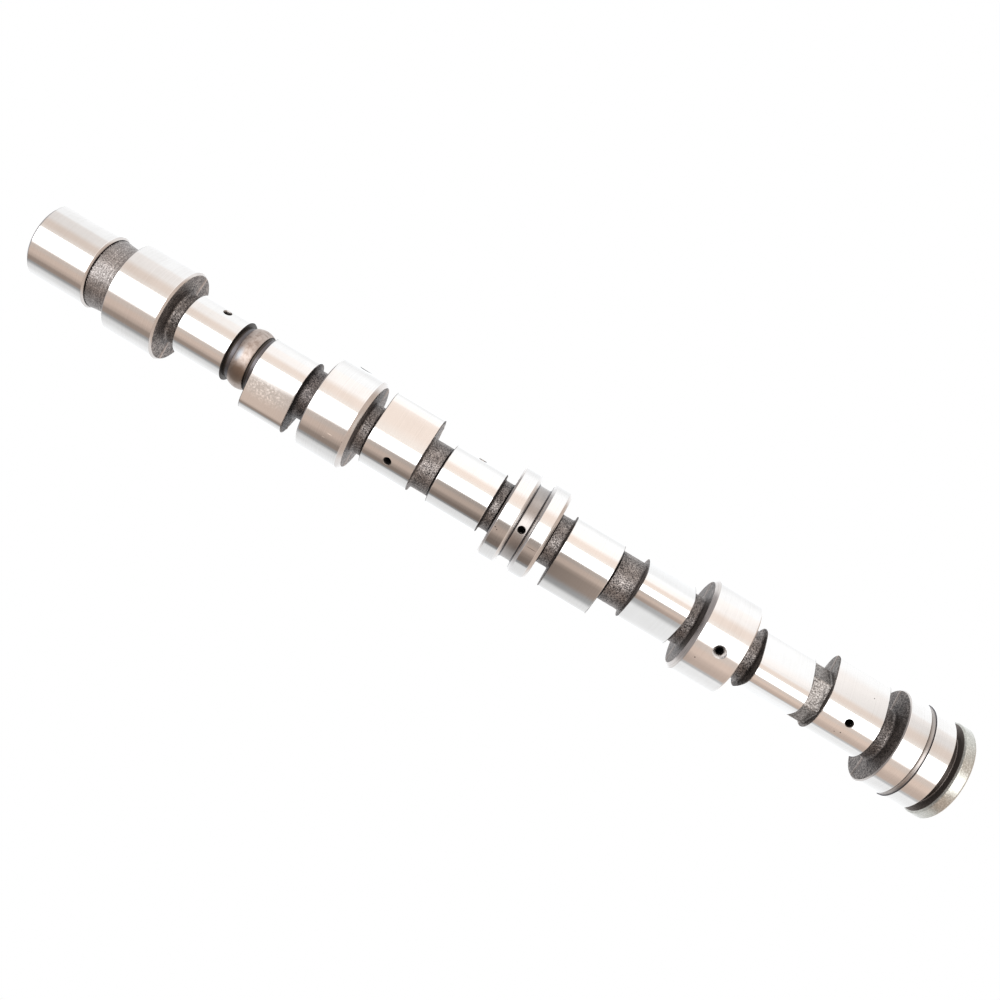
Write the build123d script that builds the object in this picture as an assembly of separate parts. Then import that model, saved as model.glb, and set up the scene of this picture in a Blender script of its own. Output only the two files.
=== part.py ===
from build123d import *

import math
import os
from dataclasses import dataclass

# Camshaft of a small four-cylinder engine with one overhead cam: a single chilled iron casting,
# ground on its bearing journals and on its eight lobes, and left as cast on the necks between.
#
# Millimetres and degrees. The shaft stands on its rear end: the origin is the centre of the rear
# face and Z runs up the axis to the nose. Angles are counted about Z from +X, which points at one
# side of the casting's parting line. Cylinders and journals are numbered from the nose end.

# ---- spacing along the axis
CYLINDERS = 4
BORE_PITCH = 86.0  # cylinder centre to cylinder centre, and journal to journal

# ---- bearing journals: each is a step larger than the one before it, so that the finished
# shaft slides into its carrier from the rear end
FRONT_JOURNAL_D = 39.45
JOURNAL_STEP = 0.25
EDGE_CHAMFER = 0.5  # plain corner break of a ground land
LAND_CHAMFER = 0.8
LEAD_CHAMFER = 1.3  # rear of the centre journal
WIDE_CHAMFER = 1.7  # lead-in on the inner journals
FRONT_JOURNAL_AHEAD = 11.2
FRONT_JOURNAL_BEHIND = 11.6
SECOND_JOURNAL_AHEAD = 8.2
SECOND_JOURNAL_BEHIND = 11.8
CENTRE_JOURNAL_HALF = 10.7
FOURTH_JOURNAL_AHEAD = 10.1
FOURTH_JOURNAL_BEHIND = 10.3
REAR_JOURNAL_AHEAD = 10.3
REAR_JOURNAL_BEHIND = 10.15

# ---- feed groove round the centre journal
FEED_GROOVE_D = 32.0
FEED_GROOVE_WIDTH = 5.4  # between its bevelled sides
FEED_GROOVE_BEVEL = 1.35
FEED_GROOVE_ROOT = 0.9  # slope between the sides and the floor

# ---- rear end: oil groove round the last journal, thrust plate groove and end ring
OIL_GROOVE_WIDTH = 2.3
OIL_GROOVE_FLOOR_WIDTH = 1.1
OIL_GROOVE_DEPTH = 0.7
THRUST_GROOVE_WIDTH = 3.6
THRUST_GROOVE_D = 31.0
END_RING_WIDTH = 5.2
END_RING_D = 40.0
END_RING_CHAMFER = 0.7

# ---- nose, which carries the oil seal and the timing wheel
NOSE_D = 32.0
NOSE_LENGTH = 26.0
NOSE_CHAMFER = 0.8
NOSE_NECK_LENGTH = 11.4
BOLT_CORE_D = 8.5  # core diameter of the M10 thread
BOLT_HOLE_DEPTH = 32.0
DOWEL_D = 5.0
DOWEL_DEPTH = 9.0
DOWEL_RADIUS = 10.6
DOWEL_ANGLE = 90.0

# ---- cam lobes: base circle, convex flanks and nose, all arcs that meet in tangents
BASE_R = 13.0
LIFT = 6.0
NOSE_TIP_R = 7.0
FLANK_R = 60.0
PAIR_AHEAD = 26.2  # a cylinder's centre to the front face of its exhaust lobe
PAIR_BEHIND = 27.5  # a cylinder's centre to the rear face of its intake lobe
PAIR_GAP_AHEAD = 4.3  # a cylinder's centre to the rear face of its exhaust lobe
PLAIN_GAP = 8.8  # neck between the two lobes of cylinders 2 and 4
LONG_GAP = 10.7  # the same neck on cylinder 3
RING_GAP = 12.2  # the same neck on cylinder 1, which carries the turned ring
FIRING_ORDER = (1, 3, 4, 2)
FIRST_INTAKE_ANGLE = 182.0
FIRING_STEP = 360.0 / CYLINDERS
LOBE_SEPARATION = 113.0  # intake nose to exhaust nose of one cylinder

# ---- cast necks
NECK_R = 10.6
NECK_FLARE = 1.1
NOSE_NECK_REAR_R = 13.8  # the stout neck that carries the nose, where it leaves the first journal
NOSE_NECK_FRONT_R = 15.0  # the same neck at the nose
HEX_ACROSS_FLATS = 20.4  # spanner hexagon between the lobes of cylinder 4
HEX_CORNER_ANGLE = -3.0
SEAM_ANGLES = (0.0, 163.0)  # where the two halves of the mould met
SEAM_WIDTH = 1.0
SEAM_HEIGHT = 0.4

# ---- crowned ring turned between the lobes of cylinder 1
RING_WIDTH = 6.8
RING_EDGE_R = 12.1
RING_CROWN_R = 13.0
RING_GROOVE_R = 11.2

# ---- oilways: a gallery drilled down from the bolt's hole, and a hole out to each surface
GALLERY_D = 5.0
GALLERY_PAST_LOBE = 7.0  # how far the gallery runs past the last hole that it feeds
OIL_HOLE_D = 3.0
JOURNAL_HOLE_MOUTH = 1.4
LOBE_HOLE_LAG = 109.0  # hole behind the nose of each lobe
FIRST_LOBE_HOLE_OFFSET = -1.5  # ahead of the first lobe's middle; the other lobes have it there
SECOND_JOURNAL_HOLE = 347.0
SECOND_HOLE_OFFSET = 0.9  # ahead of the land's middle
CENTRE_JOURNAL_HOLE = 251.5
FOURTH_JOURNAL_HOLE = 250.5
FOURTH_HOLE_OFFSET = -1.3

# ---- centre hole in the rear face, which the grinding machine holds the shaft by
CENTRE_HOLE_D = 8.0
CENTRE_HOLE_ANGLE = 60.0
CENTRE_PILOT_D = 3.0
CENTRE_PILOT_LENGTH = 3.5

# ---- places that follow from the sizes above
END_RING_TOP = END_RING_WIDTH
REAR_JOURNAL_Z = END_RING_TOP + THRUST_GROOVE_WIDTH + REAR_JOURNAL_BEHIND
NOSE_BASE_Z = REAR_JOURNAL_Z + CYLINDERS * BORE_PITCH + FRONT_JOURNAL_AHEAD + NOSE_NECK_LENGTH
LENGTH = NOSE_BASE_Z + NOSE_LENGTH
CUT_MARGIN = 1.0  # how far a cutting tool stands out of what it cuts
QUARTER_TURN = 90.0
STANDING = (Align.CENTER, Align.CENTER, Align.MIN)
HANGING = (Align.CENTER, Align.CENTER, Align.MAX)


@dataclass(frozen=True)
class Journal:
    """One bearing land, placed on its bearing's centre line."""

    number: int
    ahead: float
    behind: float
    front_chamfer: float
    rear_chamfer: float
    hole_angle: float = 0.0  # where its oil hole points, on the three inner journals
    hole_offset: float = 0.0  # how far that hole lies ahead of the land's middle

    @property
    def centre(self):
        return REAR_JOURNAL_Z + (CYLINDERS + 1 - self.number) * BORE_PITCH

    @property
    def radius(self):
        return (FRONT_JOURNAL_D + (self.number - 1) * JOURNAL_STEP) / 2

    @property
    def bottom(self):
        return self.centre - self.behind

    @property
    def top(self):
        return self.centre + self.ahead

    @property
    def hole_height(self):
        return (self.bottom + self.top) / 2 + self.hole_offset


@dataclass(frozen=True)
class Lobe:
    """One cam lobe, between its two side faces, with its nose turned to an angle."""

    bottom: float
    top: float
    nose_angle: float
    hole_offset: float = 0.0  # how far its oil hole lies ahead of its middle

    @property
    def centre(self):
        return (self.bottom + self.top) / 2

    @property
    def hole_height(self):
        return self.centre + self.hole_offset


JOURNALS = (
    Journal(1, FRONT_JOURNAL_AHEAD, FRONT_JOURNAL_BEHIND, EDGE_CHAMFER, LAND_CHAMFER),
    Journal(
        2,
        SECOND_JOURNAL_AHEAD,
        SECOND_JOURNAL_BEHIND,
        EDGE_CHAMFER,
        WIDE_CHAMFER,
        SECOND_JOURNAL_HOLE,
        SECOND_HOLE_OFFSET,
    ),
    Journal(3, CENTRE_JOURNAL_HALF, CENTRE_JOURNAL_HALF, LAND_CHAMFER, LEAD_CHAMFER, CENTRE_JOURNAL_HOLE),
    Journal(
        4,
        FOURTH_JOURNAL_AHEAD,
        FOURTH_JOURNAL_BEHIND,
        WIDE_CHAMFER,
        EDGE_CHAMFER,
        FOURTH_JOURNAL_HOLE,
        FOURTH_HOLE_OFFSET,
    ),
    Journal(5, REAR_JOURNAL_AHEAD, REAR_JOURNAL_BEHIND, EDGE_CHAMFER, EDGE_CHAMFER),
)


def cylinder_centre(cylinder):
    """Height of a cylinder's centre line, midway between its two journals."""
    return REAR_JOURNAL_Z + (CYLINDERS - cylinder + 0.5) * BORE_PITCH


def pair_gap(cylinder):
    """Length of the neck between the two lobes of a cylinder."""
    return {1: RING_GAP, 3: LONG_GAP}.get(cylinder, PLAIN_GAP)


def lobes_of(cylinder):
    """The exhaust lobe, which is nearer the nose, and the intake lobe of a cylinder."""
    middle = cylinder_centre(cylinder)
    intake_angle = FIRST_INTAKE_ANGLE + FIRING_ORDER.index(cylinder) * FIRING_STEP
    exhaust = Lobe(
        middle + PAIR_GAP_AHEAD,
        middle + PAIR_AHEAD,
        intake_angle - LOBE_SEPARATION,
        FIRST_LOBE_HOLE_OFFSET if cylinder == 1 else 0.0,
    )
    intake_top = exhaust.bottom - pair_gap(cylinder)
    return [exhaust, Lobe(middle - PAIR_BEHIND, intake_top, intake_angle)]


LOBES = [lobe for cylinder in range(1, CYLINDERS + 1) for lobe in lobes_of(cylinder)]


def turned(points):
    """A solid of revolution about Z from (radius, height) corners, closed along the axis."""
    bottom, top = points[0][1], points[-1][1]
    outline = Polyline(*[(r, 0, z) for r, z in points], (0, 0, top), (0, 0, bottom), close=True)
    return revolve(make_face(outline), Axis.Z)


def chamfered_land(radius, bottom, top, low_chamfer, high_chamfer):
    """A ground cylinder with its own chamfer at each end."""
    return turned(
        [
            (radius - low_chamfer, bottom),
            (radius, bottom + low_chamfer),
            (radius, top - high_chamfer),
            (radius - high_chamfer, top),
        ]
    )


def journal(land):
    """A bearing journal without its grooves.

    The round wall's own seam lies a quarter turn from the oil hole, so the hole never cuts it.
    """
    land_solid = chamfered_land(
        land.radius, land.bottom, land.top, land.rear_chamfer, land.front_chamfer
    )
    return Rot(0, 0, land.hole_angle + QUARTER_TURN) * land_solid


def groove_cutter(points, land):
    """What a groove takes out of a land, from (radius, distance off the groove's middle) corners.

    The corners run from the floor to the mouth on one side, and the other side is their mirror image.
    """
    outside = land.radius + CUT_MARGIN
    half = [*points, (outside, points[-1][1])]
    upper = [(r, 0, land.centre + z) for r, z in half]
    lower = [(r, 0, land.centre - z) for r, z in reversed(half)]
    return revolve(make_face(Polyline(*upper, *lower, close=True)), Axis.Z)


def feed_groove(land):
    """The wide groove that takes oil in at the centre journal, with bevelled sides."""
    half = FEED_GROOVE_WIDTH / 2
    floor = FEED_GROOVE_D / 2
    return groove_cutter(
        [
            (floor, half - FEED_GROOVE_ROOT),
            (floor + FEED_GROOVE_ROOT, half),
            (land.radius - FEED_GROOVE_BEVEL, half),
            (land.radius, half + FEED_GROOVE_BEVEL),
        ],
        land,
    )


def oil_groove(land):
    """The shallow groove with sloping sides in the middle of the rear journal."""
    return groove_cutter(
        [
            (land.radius - OIL_GROOVE_DEPTH, OIL_GROOVE_FLOOR_WIDTH / 2),
            (land.radius, OIL_GROOVE_WIDTH / 2),
        ],
        land,
    )


def cam_outline():
    """A lobe's outline with its nose on +X, from four arcs that meet in tangents."""
    nose_x = BASE_R + LIFT - NOSE_TIP_R
    to_base = FLANK_R - BASE_R
    to_nose = FLANK_R - NOSE_TIP_R
    # the flank's centre lies beyond the shaft's axis, on the far side from its flank
    cos_turn = (nose_x**2 + to_base**2 - to_nose**2) / (2 * nose_x * to_base)
    turn = math.acos(cos_turn)
    flank_x, flank_y = to_base * math.cos(turn), -to_base * math.sin(turn)

    def on_circle(x, y, radius, angle):
        return (x + radius * math.cos(angle), y + radius * math.sin(angle))

    base_angle = math.pi - turn
    nose_angle = math.atan2(-flank_y, nose_x - flank_x)
    base_point = on_circle(0, 0, BASE_R, base_angle)
    nose_point = on_circle(nose_x, 0, NOSE_TIP_R, nose_angle)
    flank_point = on_circle(flank_x, flank_y, FLANK_R, (base_angle + nose_angle) / 2)

    def mirrored(point):
        return (point[0], -point[1])

    return make_face(
        [
            ThreePointArc(base_point, (-BASE_R, 0), mirrored(base_point)),
            ThreePointArc(base_point, flank_point, nose_point),
            ThreePointArc(nose_point, (BASE_R + LIFT, 0), mirrored(nose_point)),
            ThreePointArc(mirrored(base_point), mirrored(flank_point), mirrored(nose_point)),
        ]
    )


def cam_lobe(lobe):
    """A ground lobe between its two side faces."""
    solid = extrude(cam_outline(), lobe.top - lobe.bottom)
    return Pos(0, 0, lobe.bottom) * Rot(0, 0, lobe.nose_angle) * solid


def cast_neck(bottom, top):
    """A cast neck that flares into the faces at both ends."""
    flare = min(NECK_FLARE, (top - bottom) / 3)
    return turned(
        [
            (NECK_R + flare, bottom),
            (NECK_R, bottom + flare),
            (NECK_R, top - flare),
            (NECK_R + flare, top),
        ]
    )


def neck_seams(bottom, top):
    """The low ridges that the mould's joint leaves along a neck."""
    depth = NECK_R / 2
    size = (depth + SEAM_HEIGHT, SEAM_WIDTH, top - bottom)
    ridge = Box(*size, align=(Align.MAX, Align.CENTER, Align.MIN))
    return [
        Pos(0, 0, bottom) * Rot(0, 0, angle) * Pos(NECK_R + SEAM_HEIGHT, 0, 0) * ridge
        for angle in SEAM_ANGLES
    ]


def nose_neck(bottom, top):
    """The stout tapered neck between the first journal and the nose."""
    return turned([(NOSE_NECK_REAR_R, bottom), (NOSE_NECK_FRONT_R, top)])


def hex_neck(bottom, top):
    """The hexagon that a spanner holds the shaft by."""
    corner_r = HEX_ACROSS_FLATS / math.sqrt(3)
    prism = extrude(RegularPolygon(corner_r, 6), top - bottom)
    return Pos(0, 0, bottom) * Rot(0, 0, HEX_CORNER_ANGLE) * prism


def ring_neck(bottom, top):
    """The turned neck of cylinder 1: a crowned ring between two narrow grooves."""
    middle = (bottom + top) / 2
    crown = []
    for share in (-1.0, -0.5, 0.5, 1.0):
        rise = (RING_CROWN_R - RING_EDGE_R) * (1 - share**2)
        crown.append((RING_EDGE_R + rise, middle + share * RING_WIDTH / 2))
    floor = Pos(0, 0, bottom) * Cylinder(RING_GROOVE_R, top - bottom, align=STANDING)
    return floor + turned(crown)


def necks():
    """Every neck between two faces, in order from the rear journal to the nose."""
    faces = sorted((piece.bottom, piece.top) for piece in (*JOURNALS, *LOBES))
    gaps = [(lower[1], upper[0]) for lower, upper in zip(faces, faces[1:])]
    gaps.append((faces[-1][1], NOSE_BASE_Z))
    ring_gap = lobes_of(1)[0].bottom
    hex_gap = lobes_of(CYLINDERS)[0].bottom
    solids = []
    for bottom, top in gaps:
        if top == ring_gap:
            solids.append(ring_neck(bottom, top))
        elif top == hex_gap:
            solids.append(hex_neck(bottom, top))
        elif top == NOSE_BASE_Z:
            solids.append(nose_neck(bottom, top))
        else:
            solids.append(cast_neck(bottom, top))
            solids.extend(neck_seams(bottom, top))
    return solids


def rear_end():
    """The end ring and the groove that the thrust plate runs in."""
    groove_floor = Pos(0, 0, END_RING_TOP) * Cylinder(
        THRUST_GROOVE_D / 2, THRUST_GROOVE_WIDTH, align=STANDING
    )
    ring = chamfered_land(END_RING_D / 2, 0, END_RING_TOP, END_RING_CHAMFER, END_RING_CHAMFER)
    return [ring, groove_floor]


def radial_hole(z, angle, surface_r, mouth=0.0):
    """An oil hole from the gallery out to a surface, countersunk where it has a mouth."""
    drill = Cylinder(OIL_HOLE_D / 2, surface_r + CUT_MARGIN, align=STANDING)
    if mouth:
        mouth_r = OIL_HOLE_D / 2 + mouth + CUT_MARGIN
        sink = Cone(OIL_HOLE_D / 2, mouth_r, mouth + CUT_MARGIN, align=STANDING)
        drill += Pos(0, 0, surface_r - mouth) * sink
    return Pos(0, 0, z) * Rot(0, 0, angle) * Rot(0, 90, 0) * drill


def oil_holes():
    """The holes that feed the lobes and the three inner journals."""
    holes = [radial_hole(lobe.hole_height, lobe.nose_angle - LOBE_HOLE_LAG, BASE_R) for lobe in LOBES]
    second, centre, fourth = JOURNALS[1:4]
    for land in (second, fourth):
        holes.append(radial_hole(land.hole_height, land.hole_angle, land.radius, JOURNAL_HOLE_MOUTH))
    holes.append(radial_hole(centre.hole_height, centre.hole_angle, FEED_GROOVE_D / 2))
    return holes


def nose_holes():
    """The bolt's threaded hole with the gallery below it, and the hole for the wheel's dowel."""
    gallery_end = LOBES[-1].centre - GALLERY_PAST_LOBE
    dowel = Cylinder(DOWEL_D / 2, DOWEL_DEPTH, align=HANGING)
    cuts = [
        Cylinder(GALLERY_D / 2, LENGTH - gallery_end, align=HANGING),
        Cylinder(BOLT_CORE_D / 2, BOLT_HOLE_DEPTH, align=HANGING),
        Rot(0, 0, DOWEL_ANGLE) * Pos(DOWEL_RADIUS, 0, 0) * dowel,
    ]
    return [Pos(0, 0, LENGTH) * cut for cut in cuts]


def centre_hole():
    """The centre hole in the rear face: a seat for the machine's point, and its pilot."""
    seat_r, pilot_r = CENTRE_HOLE_D / 2, CENTRE_PILOT_D / 2
    seat_depth = (seat_r - pilot_r) / math.tan(math.radians(CENTRE_HOLE_ANGLE / 2))
    seat = Cone(seat_r, pilot_r, seat_depth, align=STANDING)
    pilot = Cylinder(pilot_r, seat_depth + CENTRE_PILOT_LENGTH, align=STANDING)
    return [seat, pilot]


def camshaft():
    """The whole shaft as one solid."""
    nose = chamfered_land(NOSE_D / 2, NOSE_BASE_Z, LENGTH, NOSE_CHAMFER, NOSE_CHAMFER)
    lands = [journal(land) for land in JOURNALS]
    cams = [cam_lobe(lobe) for lobe in LOBES]
    solids = [nose, *lands, *cams, *necks(), *rear_end()]
    body = solids[0].fuse(*solids[1:])
    grooves = [feed_groove(JOURNALS[2]), oil_groove(JOURNALS[4])]
    return body.cut(*grooves, *oil_holes(), *nose_holes(), *centre_hole()).clean()


os.makedirs("parts", exist_ok=True)
shaft = camshaft()
shaft.label = "camshaft"
export_step(shaft, "parts/camshaft.step")
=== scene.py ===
"""Camshaft of a small four-cylinder engine, dressed for a plain studio.

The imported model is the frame. Every shown piece stands for a stretch of the one casting: ground
journals and cam lobes, the turned nose, ring and rear end, and the necks left as cast.
"""
import logging
import math
from contextlib import contextmanager
from dataclasses import dataclass, field
from enum import Enum
from typing import Callable, Iterator, Sequence

import bmesh
import bpy
from mathutils import Matrix, Vector


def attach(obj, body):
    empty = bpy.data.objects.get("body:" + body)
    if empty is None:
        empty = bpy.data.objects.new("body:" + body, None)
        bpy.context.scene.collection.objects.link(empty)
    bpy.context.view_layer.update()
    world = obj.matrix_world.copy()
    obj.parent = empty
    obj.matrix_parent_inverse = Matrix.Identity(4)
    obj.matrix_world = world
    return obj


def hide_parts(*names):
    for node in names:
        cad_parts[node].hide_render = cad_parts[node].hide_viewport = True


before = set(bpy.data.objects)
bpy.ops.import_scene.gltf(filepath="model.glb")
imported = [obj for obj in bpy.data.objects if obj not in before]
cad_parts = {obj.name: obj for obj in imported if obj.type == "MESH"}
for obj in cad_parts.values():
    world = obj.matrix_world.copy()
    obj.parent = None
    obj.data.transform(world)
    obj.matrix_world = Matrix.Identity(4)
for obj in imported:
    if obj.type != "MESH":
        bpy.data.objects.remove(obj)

MM = 0.001
NODE = "camshaft"
BODY = "root"
WHITE = (1.0, 1.0, 1.0, 1.0)

# Sides of the rounds.
ROUND_SEGMENTS = 320
NECK_SEGMENTS = 128
BORE_SEGMENTS = 64
HOLE_SEGMENTS = 48

# A face lies square across the shaft if its normal's Z is at least FLAT, and a part of the mesh
# belongs to a side face if it lies within ON_FACE millimetres of that face's height.
FLAT = 0.97
ON_FACE = 0.06

log = logging.getLogger("camshaft")

Station = tuple[float, float]
FaceTest = Callable[[Vector, Vector], bool]
Tree = bpy.types.NodeTree
Source = bpy.types.Node | bpy.types.NodeSocket | float

AXES = "ShaderNodeSeparateXYZ"
BUMP = "ShaderNodeBump"
MATH = "ShaderNodeMath"
MIX = "ShaderNodeMix"
NOISE = "ShaderNodeTexNoise"
RANGE = "ShaderNodeMapRange"
VECTOR = "ShaderNodeVectorMath"


# ---------------------------------------------------------------------------------------------
# Modelling steps
# ---------------------------------------------------------------------------------------------


class Slot(Enum):
    """The record's material slots."""

    GROUND = "ground_iron"
    CAST = "cast_skin"


class Element(Enum):
    """What is selected in a mesh."""

    EDGES = "edges"
    FACES = "faces"


def deselect_all() -> None:
    """Deselects every object."""
    bpy.ops.object.select_all(action="DESELECT")


def activate(piece: bpy.types.Object) -> None:
    """Makes one object the only selected and the active one.

    Args:
        piece: The object to work on.
    """
    deselect_all()
    piece.select_set(True)
    bpy.context.view_layer.objects.active = piece


@contextmanager
def editing(piece: bpy.types.Object) -> Iterator[None]:
    """Opens an object in edit mode with everything deselected, and closes it again.

    Args:
        piece: The object to edit.
    """
    activate(piece)
    bpy.ops.object.mode_set(mode="EDIT")
    bpy.ops.mesh.select_all(action="DESELECT")
    try:
        yield
    finally:
        bpy.ops.object.mode_set(mode="OBJECT")


def select_where(piece: bpy.types.Object, element: Element, test: Callable[..., bool]) -> int:
    """Selects the edges or faces that pass a test, in edit mode.

    Args:
        piece: The object in edit mode.
        element: Which of the two.
        test: Takes an edge or a face and says whether it is wanted.

    Returns:
        How many are selected.
    """
    mesh = bmesh.from_edit_mesh(piece.data)
    chosen = [part for part in getattr(mesh, element.value) if test(part)]
    for part in chosen:
        part.select = True
    mesh.select_flush_mode()
    bmesh.update_edit_mesh(piece.data)
    return len(chosen)


def outwards(piece: bpy.types.Object) -> None:
    """Turns every face of a closed mesh to point out.

    Args:
        piece: The object to mend.
    """
    with editing(piece):
        bpy.ops.mesh.select_all(action="SELECT")
        bpy.ops.mesh.remove_doubles(threshold=0.001 * MM)
        bpy.ops.mesh.normals_make_consistent(inside=False)


def apply_modifier(piece: bpy.types.Object, kind: str, **settings: object) -> None:
    """Adds a modifier with its settings and applies it at once.

    Args:
        piece: The object to change.
        kind: Blender's name for the modifier's type.
        **settings: Its values.
    """
    activate(piece)
    modifier = piece.modifiers.new(kind.title(), kind)
    for name, value in settings.items():
        setattr(modifier, name, value)
    bpy.ops.object.modifier_apply(modifier=modifier.name)


def place(piece: bpy.types.Object, angle: float) -> None:
    """Turns a piece about the shaft's axis and puts the turn into its mesh.

    Args:
        piece: The object to place.
        angle: Turn about Z in degrees.
    """
    activate(piece)
    piece.rotation_euler.z += math.radians(angle)
    bpy.ops.object.transform_apply(location=True, rotation=True, scale=True)


def spaced(start: float, end: float, step: float) -> list[float]:
    """Even places from start to end, both included, about a step apart.

    Args:
        start: First place.
        end: Last place.
        step: The widest gap between two places.

    Returns:
        The places in order.
    """
    count = max(1, math.ceil(abs(end - start) / step))
    return [start + (end - start) * i / count for i in range(count + 1)]


def guarded(start: float, end: float, step: float, guard: float = 0.2) -> list[float]:
    """Even places with one more close to either end, so that a bevel there stays narrow.

    Args:
        start: First place.
        end: Last place.
        step: The widest gap between two places.
        guard: Distance of the extra places from the ends.

    Returns:
        The places in order.
    """
    return [start, *spaced(start + guard, end - guard, step), end]


def climb(piece: bpy.types.Object, stations: Sequence[Station]) -> None:
    """Extrudes the selected cap of a piece from station to station, scaling it about the axis.

    Args:
        piece: The object in edit mode, with its cap selected at the first station. Not used.
        stations: Radius and height of each station in millimetres.
    """
    for (radius, height), (next_radius, next_height) in zip(stations, stations[1:]):
        rise = (next_height - height) * MM
        bpy.ops.mesh.extrude_region_move(TRANSFORM_OT_translate={"value": (0.0, 0.0, rise)})
        if next_radius != radius:
            scale = next_radius / radius
            bpy.ops.transform.resize(
                value=(scale, scale, 1.0), center_override=(0.0, 0.0, next_height * MM)
            )


def turned(
    name: str, stations: Sequence[Station], segments: int = ROUND_SEGMENTS
) -> bpy.types.Object:
    """A closed piece turned about the shaft's axis.

    Args:
        name: The piece's name.
        stations: Radius and height of each station in millimetres, from one end to the other.
        segments: Sides of the round.

    Returns:
        The new object.
    """
    deselect_all()
    radius, height = stations[0]
    bpy.ops.mesh.primitive_circle_add(
        vertices=segments, radius=radius * MM, fill_type="NGON", location=(0.0, 0.0, height * MM)
    )
    piece = bpy.context.object
    piece.name = name
    bpy.ops.object.transform_apply(location=True)
    with editing(piece):
        bpy.ops.mesh.select_all(action="SELECT")
        climb(piece, stations)
    outwards(piece)
    return piece


def soften_rings(piece: bpy.types.Object, width: float, least_turn: float = 20.0) -> None:
    """Breaks the sharp rings and rims of a piece with a narrow rounded bevel.

    Args:
        piece: The object to change.
        width: Bevel width in millimetres.
        least_turn: Edges that turn less than this many degrees are left alone.
    """
    with editing(piece):
        found = select_where(
            piece,
            Element.EDGES,
            lambda edge: len(edge.link_faces) == 2
            and math.degrees(edge.calc_face_angle(0.0)) > least_turn,
        )
        if found:
            bpy.ops.mesh.bevel(offset=width * MM, segments=2, affect="EDGES", clamp_overlap=True)


def joined(name: str, pieces: Sequence[bpy.types.Object]) -> bpy.types.Object:
    """Joins several objects into the first one.

    Args:
        name: Name of the result.
        pieces: The objects to join.

    Returns:
        The joined object.
    """
    deselect_all()
    for piece in pieces:
        piece.select_set(True)
    bpy.context.view_layer.objects.active = pieces[0]
    bpy.ops.object.join()
    pieces[0].name = name
    return pieces[0]


def cut(piece: bpy.types.Object, cutter: bpy.types.Object) -> None:
    """Takes a cutter's volume out of a piece and removes the cutter.

    Args:
        piece: The object to cut.
        cutter: The closed object that is taken away.
    """
    apply_modifier(piece, "BOOLEAN", operation="DIFFERENCE", solver="EXACT", object=cutter)
    bpy.data.objects.remove(cutter, do_unlink=True)


def paint(piece: bpy.types.Object, finish: bpy.types.Material, test: FaceTest) -> None:
    """Gives the faces that pass a test a finish of their own.

    Args:
        piece: The object to change.
        finish: The finish, which becomes one of the piece's if it isn't one yet.
        test: Takes a face's centre in millimetres and its normal.
    """
    materials = piece.data.materials
    if finish.name not in materials:
        materials.append(finish)
    index = materials.find(finish.name)
    for face in piece.data.polygons:
        if test(face.center / MM, face.normal):
            face.material_index = index


def smooth(piece: bpy.types.Object, angle: float = 28.0) -> None:
    """Shades a piece smooth, with edges sharper than an angle kept crisp.

    Args:
        piece: The object to shade.
        angle: The angle in degrees.
    """
    activate(piece)
    bpy.ops.object.shade_smooth_by_angle(angle=math.radians(angle))


def hand_over(piece: bpy.types.Object) -> None:
    """Ties a finished piece to the frame.

    Args:
        piece: The finished object.
    """
    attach(piece, BODY)
    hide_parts(NODE)
    log.info("%s: %d faces", piece.name, len(piece.data.polygons))


# ---------------------------------------------------------------------------------------------
# Finishes
# ---------------------------------------------------------------------------------------------


def linear(hex_code: str) -> tuple[float, float, float, float]:
    """Turns an sRGB hex colour into linear light.

    Args:
        hex_code: Six hex digits with or without a leading hash.

    Returns:
        Red, green, blue and an alpha of one.
    """
    digits = hex_code.lstrip("#")
    parts = [int(digits[i : i + 2], 16) / 255.0 for i in (0, 2, 4)]
    red, green, blue = [p / 12.92 if p <= 0.04045 else ((p + 0.055) / 1.055) ** 2.4 for p in parts]
    return (red, green, blue, 1.0)


def add_node(
    tree: Tree, kind: str, inputs: dict | Sequence = (), **settings: object
) -> bpy.types.Node:
    """Adds a shader node with its settings, values and links.

    Args:
        tree: The node tree.
        kind: Blender's name for the node's type.
        inputs: What goes into its inputs, in their order or by name or number: a value, a
            socket, or a node, whose first output in use is linked.
        **settings: Attributes of the node.

    Returns:
        The new node.
    """
    node = tree.nodes.new(kind)
    for name, value in settings.items():
        setattr(node, name, value)
    for key, value in inputs.items() if isinstance(inputs, dict) else enumerate(inputs):
        if isinstance(value, bpy.types.Node):
            value = next(socket for socket in value.outputs if socket.enabled)
        if isinstance(value, bpy.types.NodeSocket):
            tree.links.new(value, node.inputs[key])
        else:
            node.inputs[key].default_value = value
    return node


def per_metre(size_mm: float) -> float:
    """Scale of a pattern whose features are so many millimetres across."""
    return 1.0 / (size_mm * MM)


def new_material(name: str) -> tuple[bpy.types.Material, bpy.types.NodeSocket]:
    """Starts a material with an empty node tree.

    Args:
        name: Its name.

    Returns:
        The material and its object coordinates.
    """
    material = bpy.data.materials.new(name)
    material.use_nodes = True
    material.node_tree.nodes.clear()
    place_on = add_node(material.node_tree, "ShaderNodeTexCoord").outputs["Object"]
    return material, place_on


def close_material(
    material: bpy.types.Material,
    colour: Source,
    rough: Source,
    normal: Source,
    metallic: float = 1.0,
) -> bpy.types.Material:
    """Ends a material with its surface.

    Args:
        material: The material.
        colour: Base colour.
        rough: Roughness.
        normal: Relief.
        metallic: Share of bare metal.

    Returns:
        The same material.
    """
    inputs = {"Base Color": colour, "Metallic": metallic, "Roughness": rough, "Normal": normal}
    shader = add_node(material.node_tree, "ShaderNodeBsdfPrincipled", inputs)
    add_node(material.node_tree, "ShaderNodeOutputMaterial", {"Surface": shader})
    return material


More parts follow.
